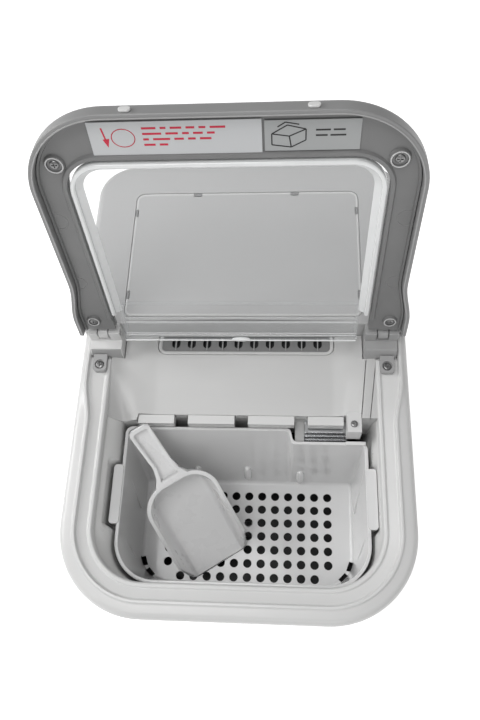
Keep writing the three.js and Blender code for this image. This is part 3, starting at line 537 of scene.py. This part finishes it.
def make_chamber():
    """A height field softened over a few millimetres, with a skirt at its front corners."""
    columns, rows = 150, 44
    width = 100.0
    top, low = [], []
    for j in range(rows + 1):
        for i in range(columns + 1):
            x = -width + 2 * width * i / columns
            front = -31.6 if abs(x) < 77.2 else -36.3
            y = front + (DECK_FRONT - 0.4 - front) * j / rows
            near = [chamber_height(x + dx, y + dy)
                    for dx in (-2.4, -1.2, 0, 1.2, 2.4) for dy in (-1.5, 0, 1.5)]
            z = RIM + sum(near) / len(near)
            top.append((x, y, z))
            skirt = j < 2 and abs(x) > 77.2
            low.append((x, y, RIM - 45 if skirt else z - 2.2))
    n = columns + 1
    count = len(top)
    faces = []
    for j in range(rows):
        for i in range(columns):
            a, b, c, d = j * n + i, j * n + i + 1, (j + 1) * n + i + 1, (j + 1) * n + i
            faces.append((a, b, c, d))
            faces.append((a + count, d + count, c + count, b + count))
    edge = list(range(n)) + [j * n + columns for j in range(1, rows + 1)]
    edge += [rows * n + i for i in range(columns - 1, -1, -1)] + [j * n for j in range(rows - 1, 0, -1)]
    for a, b in zip(edge, edge[1:] + edge[:1]):
        faces.append((a, a + count, b + count, b))
    pocket = slab(rect(-64.4, 68.4, 13.2, 60, 6.4, 1, 8), RIM - 20, RIM + 20)
    make("chamber_floor", [(top + low, faces)], "housing", CHAMBER, ["chamber_cover"],
         cuts=[pocket] + hinge_seats() + seam_cuts(), bevel=0.3, angle=50)

    profile = ((0, -11), (0, -8.7), (0.5, -8.2), (2.2, -8.2), (2.8, -9.4), (2.8, -11))
    frame_ring = skin([level(rect(-64 + i, 68 - i, 13.6 + i, DECK_FRONT - 0.6, 6 - i, 1, 8), RIM + z)
                       for i, z in profile], ring=True)
    make("vent_lip", [frame_ring], "housing", WHITE)
    # The panel floor is dark grey: painted shade in the recess.
    panel = slab(rect(-61.2, 65.2, 16.4, DECK_FRONT - 0.6, 3.2, 1, 8), RIM - 11, RIM - 9.6)
    slots = [slab(rect(x - 3.1, x + 3.1, 19.2, 27.3, 3.0, 2.9, 6), RIM - 20, RIM) for x in SLOT_X]
    make("vent_panel", [panel], "housing", VENT_SHADE_AND_HOOK_GREY, cuts=slots, bevel=0.2)
    ribs = [slab(rect(x - 0.5, x + 0.5, 17.4, 27.6, 0.45, 0.45, 3), RIM - 10.9, RIM - 9.1) for x in SLOT_X]
    make("vent_ribs", ribs, "housing", LIGHT_GREY)
    # A black sheet below the vent slots: painted shade seen through them.
    back = slab(rect(-61, 65, 16.6, DECK_FRONT - 0.6, 3, 1, 8), RIM - 15.5, RIM - 14.5)
    make("vent_shadow_sheet", [back], "housing", DARK)


# ---------- hinges ----------
def screw(name, centre, body, replaces, r=3.0, on_lid=False, down=False):
    """A pan-head screw with a cross recess, its head up (or down in the closed lid)."""
    x, y, z = centre
    sign = -1 if down else 1
    profile = [(1.3, -3.2), (1.3, 0), (r, 0), (r, 0.5), (r * 0.86, 0.95), (r * 0.5, 1.2), (0.05, 1.25)]
    head = lathe([(a, sign * h) for a, h in profile], (x, y, z), sides=28)
    low, high = sorted((z + sign * 0.45, z + sign * 2.0))
    arm = r * 0.62
    cross = [block(x - arm, x + arm, y - 0.32, y + 0.32, low, high),
             block(x - 0.32, x + 0.32, y - arm, y + arm, low, high)]
    return make(name, [head], body, SCREW, replaces, cuts=cross, on_lid=on_lid, bevel=0.12)


def make_hinges():
    # The right block is grey where the left is white: painted shade on the right block.
    for side, tag, material in ((-1, "left", WHITE), (1, "right", LIGHT_GREY)):
        lo, hi = sorted((side * 89.0, side * 112.6))
        profile = ((28.2, -10), (9.5, -10), (9.5, -1.4), (12.5, 4.4), (28.2, 4.4))
        body = side_slab(lo, hi, [(y, RIM + z) for y, z in profile])
        rest = block(lo, hi, 19.2, 28.2, RIM + 0.1, RIM + 15.6)
        s0, s1 = sorted((side * 97.2, side * 105.8))
        slot = block(s0, s1, 15.4, 40, RIM + 6, RIM + 30)
        bore = lathe([(2.3, -115), (2.3, 115)], (0, PIVOT.y / MM, PIVOT.z / MM), "X")
        make(f"hinge_body_{tag}", [body], "housing", material, [f"hinge_block_{tag}"],
             joins=[rest], cuts=[slot, bore], bevel=0.6)
        profile = ((9.1, -9.4), (9.1, -1.3), (11.9, 4.0), (12.8, 3.6), (9.8, -1.6), (9.8, -9.4))
        front = side_slab(lo + 0.7, hi - 0.7, [(y, RIM + z) for y, z in profile])
        make(f"hinge_face_{tag}", [front], "housing", LIGHT_GREY, bevel=0.25)
        tab_x, tab_y = side * HINGE_TAB[0], HINGE_TAB[1]
        strip = slab(rect(tab_x - 5, tab_x + 5, -3.8, 9.3, 2.6, 0.4, 6), RIM - 2.6, RIM + 0.9)
        hole = lathe([(3.7, -0.5), (3.7, 3)], (tab_x, tab_y, RIM))
        make(f"hinge_tab_{tag}", [strip], "housing", LIGHT_GREY, cuts=[hole], bevel=0.4)
        screw(f"hinge_screw_head_{tag}", (tab_x, tab_y, RIM - 0.4), "housing", [f"hinge_screw_{tag}"])


# ---------- lid, drawn shut and then turned to its open stop ----------
PLATE_REAR = LID_END - 24   # where the window pane ends and its bend starts
BOSS_RECESS = 0.9
BOSSES = [                  # screw, side, x, y, radius
    ("fl", -1, 93, LID_END - 145, 5.6), ("fr", 1, 93, LID_END - 145, 5.6),
    ("rl", -1, 104, LID_END - 10.4, 4.6), ("rr", 1, 104, LID_END - 10.4, 4.6),
]


def lid_outline(inset, rear=LID_END):
    w, r, front = LID_HALF - inset, 50 - inset, LID_END - LID_LENGTH + inset
    sides = [-38, -34, -30, -26, -22, -18, -14, -10, -6, -2, 0, rear]
    wide = [(w + LID_FLARE * smooth((y + 38) / 38), y) for y in sides]
    left = [(-x, y) for x, y in reversed(wide)]
    return arc(-w + r, front + r, r, 180, 20) + arc(w - r, front + r, r, 270, 20) + wide + left


def opening_outline(grow, rear=60.0):
    x = OPENING_X + grow
    return rect(-x, x, LID_END - OPENING_V - grow, rear, OPENING_R + grow, 1, 14)


def on_rim(outline, z):
    return level(outline, RIM + z)


def opening_rear():
    """Clears the strip across the open rear end of the lid."""
    return block(-100, 100, LID_END - 3.4, LID_END + 2, RIM - 2, RIM + 3)


def make_lid():
    turn = [math.radians(11.25 * k) for k in range(1, 9)]
    steps = [(0.5, 0.5), (0, 1.0), (0, 7)] + [(7 - 7 * math.cos(a), 7 + 6 * math.sin(a)) for a in turn]
    shape = skin([on_rim(lid_outline(i), z) for i, z in steps])
    hollow = skin([on_rim(lid_outline(i, LID_END + 1), z)
                   for i, z in ((2.6, -0.5), (3.2, 1.2), (3.2, 8), (6.5, 10.4))])
    opening = skin([on_rim(opening_outline(0), z) for z in (-5, 20)])
    make("lid_shell", [shape], "lid", SILVER_EDGE, ["lid_frame"], cuts=[hollow, opening],
         on_lid=True, bevel=0.35)
    # The right ear is grey where the left is white: painted shade on the right side.
    for tag, side, material in (("left", -1, WHITE), ("right", 1, LIGHT_GREY)):
        x0, x1 = sorted((side * 98.0, side * 105.0))
        web = block(x0, x1, LID_END - 6, PIVOT.y / MM, RIM + 10.4, RIM + 12.9)
        barrel = lathe([(4.6, x0), (4.6, x1)], (0, PIVOT.y / MM, PIVOT.z / MM), "X")
        bore = lathe([(2.3, x0 - 1.5), (2.3, x1 + 1.5)], (0, PIVOT.y / MM, PIVOT.z / MM), "X")
        make(f"lid_ear_{tag}", [web], "lid", material, joins=[barrel], cuts=[bore], on_lid=True,
             bevel=0.3)
    # A thin lighter ring along the skirt's edge: a painted highlight.
    line = skin([on_rim(lid_outline(i), z) for i, z in ((2.0, 0.7), (2.0, 0.25), (2.7, 0.25), (2.7, 0.7))],
                ring=True)
    make("lid_edge_highlight", [line], "lid", LIGHT_GREY, cuts=[opening_rear()], on_lid=True)

    face, top = LINER_FACE, 8.3
    plate = skin([on_rim(lid_outline(3.6, LID_END - 0.4), z) for z in (face, top)])
    edge = skin([on_rim(lid_outline(i, LID_END - 0.5), z) for i, z in
                 ((3.7, face + 0.3), (3.7, face - 1.6), (4.9, face - 1.6), (5.4, face + 0.3))], ring=True)
    lip = skin([on_rim(opening_outline(i, LID_END - 12), z) for i, z in
                ((3.4, face + 0.5), (2.2, face - 1.6), (0.0, face - 1.6), (0.0, face + 0.5))], ring=True)
    bosses, recesses = [], []
    for _, side, x, y, r in BOSSES:
        at = (side * x, y, RIM)
        bosses.append(lathe([(r + 0.7, face + 0.4), (r + 0.3, face - 0.4), (r, face - 1.5),
                             (r - 0.5, face - 1.8), (0.05, face - 1.8)], at))
        recesses.append(lathe([(r - 1.1, face - 2.5), (r - 1.1, face - BOSS_RECESS)], at))
    cuts = recesses + [skin([on_rim(opening_outline(0.01), z) for z in (-5, 20)])]
    make("lid_inner", [plate], "lid", SILVER, ["lid_liner"], joins=[edge, lip] + bosses,
         cuts=cuts, on_lid=True, bevel=0.25)
    for tag, side, x, y, _ in BOSSES:
        screw(f"lid_screw_head_{tag}", (side * x, y, RIM + face - 0.55), "lid", [f"lid_screw_{tag}"], r=2.8,
              on_lid=True, down=True)
    seats = []
    for _, side, x, y, r in BOSSES:
        seats.append(skin([on_rim(circle(side * x, y, r - i), face - z) for i, z in
                           ((0.2, 1.7), (0.6, 2.0), (1.1, 2.0), (1.3, 1.7))], ring=True))
    make("lid_screw_seats", seats, "lid", LID_LIGHT, on_lid=True)
    rings = []
    for x, v, r in ((-103, 103, 5.6), (102.5, 103, 5.6), (-104.6, 49, 5.2), (102.5, 49, 5.2)):
        rings.append(skin([on_rim(circle(x, LID_END - v, r + i), face + z) for i, z in
                           ((-0.3, 0.05), (-0.15, -0.16), (0.15, -0.16), (0.3, 0.05))], ring=True))
    make("lid_mould_marks", rings, "lid", SILVER_EDGE, on_lid=True)


def ribbon(centre_line, thick):
    """A strip of even thickness along a line in (y, z), as a closed outline."""
    above, below = [], []
    for i, p in enumerate(centre_line):
        a = Vector(centre_line[max(i - 1, 0)])
        b = Vector(centre_line[min(i + 1, len(centre_line) - 1)])
        along = (b - a).normalized()
        normal = Vector((-along.y, along.x)) * thick / 2
        above.append(tuple(Vector(p) + normal))
        below.append(tuple(Vector(p) - normal))
    return above + below[::-1]


def make_window():
    sheet = skin([on_rim(rect(-93.6, 93.6, LID_END - OPENING_V - 3.1, PLATE_REAR, OPENING_R + 3, 1, 14), z)
                  for z in (8.7, 10.2)])
    make("window_pane", [sheet], "lid", CLEAR, ["lid_window"], on_lid=True)

    def band_loop(grow, z):
        x = 88.5 + grow
        front = LID_END - OPENING_V + 1.9 - grow
        return on_rim(rect(-x, x, front, LID_END - 14, OPENING_R - 2 + grow, 1, 14), z)
    profile = ((0, 8.6), (0, 4.0), (-0.6, 3.4), (-2.2, 3.4), (-2.8, 4.2), (-2.8, 6.0), (-6.8, 8.6))
    band = skin([band_loop(grow, z) for grow, z in profile], ring=True)
    behind = block(-120, 120, LID_END - 19, LID_END + 20, RIM - 5, RIM + 20)
    make("window_edge_band", [band], "lid", BAND, cuts=[behind], on_lid=True, bevel=0.2)

    line = rounded([(PLATE_REAR - 2, 9.4, 0), (LID_END - 9.5, 9.2, 9), (LID_END - 0.2, 2.0, 6),
                    (LID_END + 0.6, -1.9, 0)], closed=False, seg=8)
    bend = side_slab(-82, 82, [(y, RIM + z) for y, z in ribbon(line, 1.8)])
    make("window_bend", [bend], "lid", BEND, on_lid=True, bevel=0.25)
    # Thin white and grey beads across the bend: painted highlights and reflections on the clear plastic's
    # curved edges.
    for tag, material, shares in (("highlight_ridges", BAND, (0.18, 0.42, 0.6, 0.74, 0.985)),
                                  ("lines", LIGHT_GREY, (0.1, 0.5, 0.67, 0.86))):
        beads = []
        for share in shares:
            y, z = line[round(share * (len(line) - 1))]
            r = 0.55 if share > 0.9 else 0.32
            beads.append(lathe([(0.1, -81.6), (r, -81.2), (r, 81.2), (0.1, 81.6)], (0, y, RIM + z - 0.7),
                               "X", 10))
        make(f"window_bend_{tag}", beads, "lid", material, on_lid=True)
    y, z = line[-1]
    tab = lathe([(0.1, -6.6), (1.0, -5.6), (1.5, -3), (1.6, 0), (1.5, 3), (1.0, 5.6), (0.1, 6.6)],
                (1.0, y - 0.2, RIM + z), "X", 16)
    make("window_tab", [tab], "lid", BAND, on_lid=True)
    profile = ((PLATE_REAR - 2, 8.8), (PLATE_REAR - 2, 4.5), (LID_END - 4, -1), (LID_END, -1.9),
               (LID_END - 1, 3), (LID_END - 8, 8.6))
    cheek = [(y, RIM + z) for y, z in profile]
    cheeks = [side_slab(-82.2, -79.6, cheek), side_slab(79.6, 82.2, cheek)]
    make("window_cheeks", cheeks, "lid", BEND, on_lid=True, bevel=0.2)


def strokes(points, width, z0, z1):
    """Thin boxes along a line of points, for printed marks."""
    made = []
    for (xa, ya), (xb, yb) in zip(points, points[1:]):
        along = Vector((xb - xa, yb - ya))
        if along.length < 1e-6:
            continue
        along.normalize()
        side = Vector((-along.y, along.x)) * width / 2
        out = [(xa + side.x, ya + side.y), (xa - side.x, ya - side.y), (xb - side.x, yb - side.y),
               (xb + side.x, yb + side.y)]
        made.append(slab(out[::-1], z0, z1))
    return made


def make_labels():
    face = LINER_FACE + RIM
    z1, z0 = face - 0.3, face - 0.85
    m1, m0 = z0 - 0.01, z0 - 0.06

    def at(x, v):
        return x, LID_END - v
    left = slab([at(-69.5, 150.4), at(-69.5, 170.4), at(21, 170.4), at(21, 150.4)][::-1], z0, z1)
    make("label_plate_left", [left], "lid", STICKER, ["label_left"], on_lid=True, bevel=0.08)
    right = slab([at(22.3, 151.2), at(22.3, 169.4), at(71.4, 169.4), at(71.4, 151.2)][::-1], z0, z1)
    make("label_plate_right", [right], "lid", STICKER_DARK, ["label_right"], on_lid=True,
         bevel=0.08)
    red = strokes([at(-62.2, 167.0), at(-60.9, 159.5)], 0.9, m0, m1)
    red.append(slab([at(-62.6, 160.2), at(-60.4, 155.2), at(-58.9, 160.6)], m0, m1))
    turn = [math.pi * k / 16 for k in range(33)]
    ring = [at(-51.5 + 6.2 * math.cos(a), 160.8 + 5.4 * math.sin(a)) for a in turn]
    red += strokes(ring, 0.5, m0, m1)
    lines = [(166.4, (7.5, 3, 6, 4.5, 3.5, 8)), (163.1, (10, 6.5, 3.5, 5, 4)), (159.8, (3, 9, 5, 4, 6)),
             (156.5, (6, 4.5))]
    for v, words in lines:
        x = -41.0
        for word in words:
            red += strokes([at(x, v), at(x + word, v)], 1.25, m0, m1)
            x += word + 2.2
    make("label_marks_left", red, "lid", RED_INK, on_lid=True)
    box_lines = [
        [(26, 155), (36, 153.4), (43.5, 157.5), (43.5, 164), (34, 166.5), (26, 161.5), (26, 155)],
        [(26, 161.5), (35, 160), (43.5, 164)], [(35, 160), (36, 153.4)],
        [(29, 165.5), (33, 168.2), (40, 166.8)],
    ]
    black = []
    for line in box_lines:
        black += strokes([at(x, v) for x, v in line], 0.7, m0, m1)
    for v, words in ((163.4, (7.5, 6)), (160.2, (6, 8))):
        x = 48.5
        for word in words:
            black += strokes([at(x, v), at(x + word, v)], 1.0, m0, m1)
            x += word + 1.4
    make("label_marks_right", black, "lid", BLACK_INK, on_lid=True)
    front = LID_END - LID_LENGTH
    for tag, x in (("left", -47.0), ("right", 47.3)):
        turn = Matrix.Translation((0, front, RIM + 3.9)) @ Matrix.Rotation(math.pi / 2, 4, "X")
        pad = moved(slab(rect(x - 3.2, x + 3.2, -1.9, 1.9, 1.8, 1.8, 6), 0.0, 1.5), turn)
        make(f"bumper_{tag}", [pad], "lid", RIM_WHITE, [f"lid_bumper_{tag}"], on_lid=True,
             bevel=0.5)


# ---------- ice bay, basket and scoop ----------
def bay_loop(x0, x1, y0, rear, r, z, thick=0.0):
    """One level of the bay wall, with room for the basket's lugs."""
    ys = [rear, -20, -31, -38, -46, -54, -60, -63, -65, -67, -69, -72, -80, -90, -100, -107, -109, -111,
          -113, -115]
    deep = smooth((-11.5 - z) / 5.0) * smooth((z + 50.0) / 2.5)
    left, right = [], []
    for y in ys:
        push = deep * smooth((-64.5 - y) / 4.0) * smooth((y + 114.5) / 4.0)
        left.append((x0 + (min(x0, -95.0 - thick) - x0) * push, y))
        right.append((x1 + (max(x1, 97.7 + thick) - x1) * push, y))
    outline = left + arc(x0 + r, y0 + r, r, 180, 20)[1:] + arc(x1 - r, y0 + r, r, 270, 20)[:-1] + right[::-1]
    return level(outline, RIM + z)


def make_bay():
    inner, outer = [], []
    for z in (-9.2, -10, -11, -12, -13, -14, -15, -16, -18, -20, -22, -24, -26, -34, -44, -47, -48, -49,
              -50, -60, -90, -140):
        if z > -26:
            t = math.sin(math.pi / 2 * (-9.2 - z) / 16.8)
            sizes = [a + (b - a) * t for a, b in zip((-97.2, 97.2, -150.4, 33.9), (-89, 94.6, -151.1, 29))]
        else:
            t = (-26 - z) / 114
            sizes = [a + (b - a) * t for a, b in zip((-89, 94.6, -151.1, 29), (-84.3, 88.3, -145.8, 24))]
        x0, x1, y0, r = sizes
        inner.append(bay_loop(x0, x1, y0, 21.6, r, z))
        outer.append(bay_loop(x0 - 2.2, x1 + 2.2, y0 - 2.2, 24.0, r + 2, z if z > -139 else -142.4, 2.2))
    tub = skin(outer[::-1] + inner)
    rear_cut = block(-120, 120, -35.6, 40, RIM - 19, RIM + 5)
    drain = lathe([(7.3, -160), (7.3, -120)], (0, -95, RIM), sides=24)
    make("bay", [tub], "housing", BAY_WITH_SHADE, ["bay_liner"], cuts=[rear_cut, drain] + seam_cuts()[1:],
         bevel=0.3, angle=45)


# basket outline at its rim and at its floor
BASKET_TOP = {"x0": -86.3, "x1": 91.6, "y0": -149.4, "left": -38.9, "right": -48.8}
BASKET_LOW = {"x0": -84.0, "x1": 87.6, "y0": -146.5, "left": -61.0, "right": -61.0}


def basket_outline(part, inset):
    """Part runs from 0 at the basket's rim to 1 at its floor."""
    mix = {key: top + (BASKET_LOW[key] - top) * part for key, top in BASKET_TOP.items()}
    x0, x1, y0 = mix["x0"] + inset, mix["x1"] - inset, mix["y0"] + inset
    left, right = mix["left"] - inset, mix["right"] - inset
    front, rear = 29 - 3 * part - inset, 5 - inset
    step = rounded([(60, right, 0), (JOG_X + 1 - inset / 2, right, 3.5), (JOG_X - 1 - inset / 2, left, 3.5),
                    (0, left, 0)], closed=False, seg=5)
    return (arc(x0 + front, y0 + front, front, 180, 16) + arc(x1 - front, y0 + front, front, 270, 16)
            + arc(x1 - rear, right - rear, rear, 0, 6) + step + arc(x0 + rear, left - rear, rear, 90, 6))


def basket_level(part, inset, z):
    return level(basket_outline(part, inset), RIM + z)


def make_basket():
    height = BASKET_RIM - BASKET_FLOOR
    out = [basket_level(1, 1.6, BASKET_FLOOR - 2),
           basket_level(1 - 1.5 / height, 0.2, BASKET_FLOOR - 0.6),
           basket_level(2.2 / height, 0, BASKET_RIM - 2.2),
           basket_level(1.8 / height, -0.5, BASKET_RIM - 1.9),
           basket_level(0, -0.5, BASKET_RIM - 0.3),
           basket_level(0, -0.1, BASKET_RIM)]
    inn = [basket_level(0, 1.5, BASKET_RIM), basket_level(0, 1.9, BASKET_RIM - 0.4)]
    for k in range(1, 8):
        part = k / 8 * 0.965
        inn.append(basket_level(part, 2, BASKET_RIM - height * part))
    for k in range(5):
        a = math.pi / 2 * k / 4
        inn.append(basket_level(1 - 0.035 * (1 - math.sin(a)), 2 + 2.4 * (1 - math.cos(a)),
                                BASKET_FLOOR + 2.4 * (1 - math.sin(a))))
    tub = skin(out + inn)
    lugs = []
    for x0, x1 in ((-92.2, -85.2), (90.2, 97.2)):
        outline = rect(x0, x1, LUG_Y[0], LUG_Y[1], 2.4, 2.4, 6)
        lugs.append(skin([level(outline, RIM + z) for z in (-43.5, -23.2)]))
    bump = lathe([(0.1, -9.5), (1.9, -8.6), (3.0, -6), (3.2, 0), (3.0, 6), (1.9, 8.6), (0.1, 9.5)], sides=20)
    bumps = []
    for x, y in ((-38.0, -59.0), (2.0, -59.0), (44.0, -61.0)):
        lean = Matrix.Translation((x, y, RIM - 83)) @ Matrix.Rotation(math.radians(-16), 4, "X")
        bumps.append(moved(bump, lean))
    rise = skin([level(rect(76, 90.6, -50.9, -48.4, 0.8, 0.8, 4), RIM + z)
                 for z in (BASKET_RIM - 3, BASKET_RIM + 2.2)])
    cuts = []
    for row in range(7):
        reach = 5 if row == 6 else 6
        for col in range(-reach, reach + 1):
            at = (BASKET_X + col * HOLE_PITCH, -75 - row * HOLE_PITCH, RIM + BASKET_FLOOR)
            cuts.append(lathe([(HOLE_R, -6), (HOLE_R, 1.2)], at, sides=24))
    for cx, angle in ((-58.0, 200), (-58.0, 225), (61.6, 340), (61.6, 315)):
        a = math.radians(angle)
        at = Matrix.Translation((cx, -120.5, RIM + BASKET_FLOOR + 4.2)) @ Matrix.Rotation(a, 4, "Z")
        cuts.append(moved(block(21.2, 33, -3.6, 3.6, -11, 2.4), at))
    make("basket", [tub], "basket", BASKET, ["ice_basket"], joins=lugs + bumps + [rise],
         cuts=cuts, bevel=0.35, angle=40)
    ribs = []
    for x, s in ((-84.0, 1), (88.6, -1)):
        for y, dy in ((-66.0, -24.0), (-112.5, -16.0)):
            a = Vector((x - 1.5 * s, y, BASKET_RIM - 3))
            b = Vector((x + 2.2 * s, y + dy, BASKET_FLOOR + 18))
            along = b - a
            turn = along.to_track_quat("Z", "Y").to_matrix().to_4x4()
            rod = lathe([(0.1, 0), (0.7, 1), (0.7, along.length - 1), (0.1, along.length)], sides=8)
            ribs.append(lifted(moved(rod, Matrix.Translation(a) @ turn)))
    make("basket_ribs", ribs, "basket", BASKET)


def make_scoop():
    """Drawn level with the lip at the origin and the handle towards -x, then tilted into the basket."""
    back, half, deep, tilt = -88.0, 28.4, 24.0, math.radians(34.5)

    def bowl(inset, z):
        outline = rect(-half + inset, half - inset, back + inset, 20, 20 - inset * 0.6, 3, 14)
        return [(y, -x, z) for x, y in outline]

    def stem(tip, tip_left, tip_right, tip_r, side):
        """Outline of the handle or of its trough: a squared tip, then the same line down each side."""
        right = [(back + x, y, r) for x, y, r in side]
        left = [(x, -y, r) for x, y, r in right]
        ends = (back + tip, tip_left, tip_r), (back + tip, tip_right, tip_r)
        return rounded([ends[0], *left, *reversed(right), ends[1]], seg=7)

    shell = [bowl(9.5, 0), bowl(7.6, 0.4), bowl(5.8, 1.6), bowl(4.2, 3.8), bowl(2.6, 9), bowl(1.6, 15),
             bowl(0.7, deep - 1.6), bowl(-0.1, deep - 1.2), bowl(-0.1, deep - 0.2), bowl(0.2, deep)]
    handle = stem(-46, -10.6, 5.4, 3.4, ((-14, 7.4, 12), (-5, 9.5, 8), (4, 15, 0)))
    grip = skin([level(handle, z) for z in (deep - 8.6, deep)])
    trough = stem(-43.6, -8.2, 3.0, 2.2, ((-14, 4.9, 10), (-5, 6.4, 3), (-2.6, 7.6, 1)))
    hollow = skin([level(trough, z) for z in (deep - 5.4, deep + 2)])
    hollow_steps = ((9.6, 2.0), (8.3, 2.1), (7.2, 2.6), (6.3, 3.9), (5.4, 8), (4.0, 15),
                    (2.6, deep - 0.5), (2.2, deep), (2.2, deep + 5))
    inside = skin([bowl(inset, z) for inset, z in hollow_steps])
    mouth = moved(block(0, 90, -50, 50, -60, 90), Matrix.Rotation(-tilt - math.radians(12), 4, "Y"))
    place = (Matrix.Translation((-18.1, -128.0, RIM + BASKET_FLOOR + 0.8))
             @ Matrix.Rotation(math.radians(-57.5), 4, "Z") @ Matrix.Rotation(tilt, 4, "Y"))
    obj = make("ice_scoop", [skin(shell)], "scoop", SCOOP, ["scoop"], joins=[grip],
               cuts=[inside, hollow, mouth])
    obj.data.transform(Matrix.Scale(MM, 4) @ place @ Matrix.Scale(1 / MM, 4))


# ---------- controls ----------
def make_controls():
    face = -HALF_D + 1.9
    stand = Matrix.Rotation(math.pi / 2, 4, "X")

    def upright(outline, y0, y1):
        return moved(slab(outline, -y1, -y0), stand)
    plate = upright(rect(-57.7, 57.7, 252.3, 285.7, 5.7, seg=6), face, -166.4)
    flange = upright(rect(-60, 60, 249, 289, 7, seg=6), -167.7, -166.4)
    holes = [lathe([(7.3, 160), (7.3, 180)], (x, 0, BUTTON_Z), "Y") for x in (-BUTTON_X, BUTTON_X)]
    seats = [lathe([(8.8, 160), (8.8, 169.2)], (x, 0, BUTTON_Z), "Y") for x in (-BUTTON_X, BUTTON_X)]
    lens_hole = upright(rect(-14.3, 14.3, 264.7, 273.3, 1.5, seg=4), -180, -160)
    make("control_face", [plate], "housing", PANEL, ["control_panel"], joins=[flange],
         cuts=holes + seats + [lens_hole], bevel=0.3)
    for name, body, x in (("power", "power_key", -BUTTON_X), ("size", "size_key", BUTTON_X)):
        key = lathe([(7.0, 167.0), (7.0, -face), (6.2, -face + 0.9), (5.4, -face + 1.0),
                     (4.6, -face + 0.75), (0.05, -face + 0.6)], (x, 0, BUTTON_Z), "Y", 40)
        flare = lathe([(8.4, 167), (8.4, 168.8)], (x, 0, BUTTON_Z), "Y", 40)
        make(f"{name}_cap", [key], body, STEEL, [f"{name}_button"], joins=[flare], bevel=0.2)


def make_backing():
    """Fixed wall behind the teeth, with posts in the gaps between them."""
    wall = block(-76, 76, -31.5, -29.5, RIM - 60, RIM - 24.3)
    posts = [block(x0 + 0.4, x1 - 0.4, -31.5, -29.5, RIM - 26, RIM - 17) for x0, x1 in
             ((-49.4, -39), (-4.8, 5.2), (39, 48.8), (74.5, 77))]
    shelf = block(39.5, 46.3, -46, -31, RIM - 34, RIM - 32)
    make("shovel_backing", [wall, shelf] + posts, "housing", WHITE, bevel=0.2)
    plates = [block(46.5, 78, y, -28, RIM + z, RIM + z + 1.2)
              for y, z in ((-45.6, -41.5), (-44.0, -37), (-42.4, -32.5), (-40.8, -28))]
    post = block(70, 84, -29.4, -22, RIM - 46, RIM - 26)
    make("shovel_guides", plates + [post], "housing", STEEL, ["shovel_rails"], bevel=0.15)


def use_cad(node, material, bevel=0.4, angle=32.0):
    finish(bpy.data.objects[frame["nodes"][node].name], material, bevel, angle)


def finish_cad():
    for node in ("ice_shovel", "sensor_block", "rear_grille", "side_grille_left", "side_grille_right",
                 "water_pump", "water_tray", "tray_bracket"):
        use_cad(node, WHITE, 0.5)
    for node in ("compressor", "fan_shroud", "fan", "tray_motor", "drain_cap", "cord_gland"):
        use_cad(node, DARK, 0.4)
    for node in ("evaporator", "condenser", "hinge_pin_left", "hinge_pin_right"):
        use_cad(node, STEEL, 0.15)
    use_cad("indicator_lens", LENS, 0.4)
    use_cad("control_board", BOARD, 0.2)
    use_cad("drain_tube", CLEAR, 0.2)
    screw("sensor_screw_head", (81, -40.5, RIM - 5), "housing", ["sensor_screw"], r=2.5)


# ---------- studio ----------
def make_studio():
    floor = bpy.data.objects.new("floor", mesh_of("floor", [block(-4000, 4000, -4000, 4000, -12, -0.4)]))
    bpy.context.collection.objects.link(floor)
    mat, _, shader = new_material("floor_paper", (0.93, 0.93, 0.93), 0.75)
    shader.inputs["Emission Color"].default_value = (1, 1, 1, 1)
    shader.inputs["Emission Strength"].default_value = 0.70
    floor.data.materials.append(mat)
    world = bpy.data.worlds.new("studio")
    bpy.context.scene.world = world
    world.use_nodes = True
    world.node_tree.nodes["Background"].inputs["Color"].default_value = (1, 1, 1, 1)
    world.node_tree.nodes["Background"].inputs["Strength"].default_value = 0.33

    def lamp(name, place, target, size, power, shape="ELLIPSE"):
        data = bpy.data.lights.new(name, "AREA")
        data.shape = shape
        data.size, data.size_y = size
        data.energy = power
        obj = bpy.data.objects.new(name, data)
        obj.location = place
        aim = Vector(target) - Vector(place)
        obj.rotation_euler = aim.to_track_quat("-Z", "Y").to_euler()
        bpy.context.collection.objects.link(obj)
    lamp("overhead", (-0.25, -0.22, 1.6), (0, -0.08, 0.3), (0.7, 0.7), 5.5)
    lamp("left", (-1.0, 0.15, 0.95), (0, -0.08, 0.3), (0.5, 0.5), 6.2)
    lamp("front", (0.3, -1.7, 1.3), (0, 0, 0.4), (1.2, 0.9), 3.5)
    view = bpy.context.scene.view_settings
    view.view_transform = "Standard"
    view.look = "None"


CAMERA_PLACE = (0.0369, -0.1787, 0.7545)
CAMERA_TURN = (66.961, -11.595, -10.361)    # downward pitch, yaw and roll in degrees
CAMERA_LENS = 32.8


def make_camera():
    pitch, yaw, roll = (math.radians(a) for a in CAMERA_TURN)
    ahead = Vector((math.cos(pitch) * math.sin(yaw), math.cos(pitch) * math.cos(yaw), -math.sin(pitch)))
    flat = Vector((math.cos(yaw), -math.sin(yaw), 0))
    above = flat.cross(ahead)
    right = math.cos(roll) * flat + math.sin(roll) * above
    up = -math.sin(roll) * flat + math.cos(roll) * above
    data = bpy.data.cameras.new("camera")
    data.sensor_fit = "VERTICAL"
    data.sensor_height = 36.0
    data.lens = CAMERA_LENS
    data.clip_start = 0.01
    data.clip_end = 30
    camera = bpy.data.objects.new("camera", data)
    turn = Matrix((right, up, -ahead)).transposed().to_4x4()
    camera.matrix_world = Matrix.Translation(CAMERA_PLACE) @ turn
    bpy.context.collection.objects.link(camera)
    bpy.context.scene.camera = camera


make_camera()
make_shell()
make_base()
make_rim()
make_deck()
make_chamber()
make_hinges()
make_lid()
make_window()
make_labels()
make_bay()
make_basket()
make_scoop()
make_controls()
make_backing()
finish_cad()
make_studio()
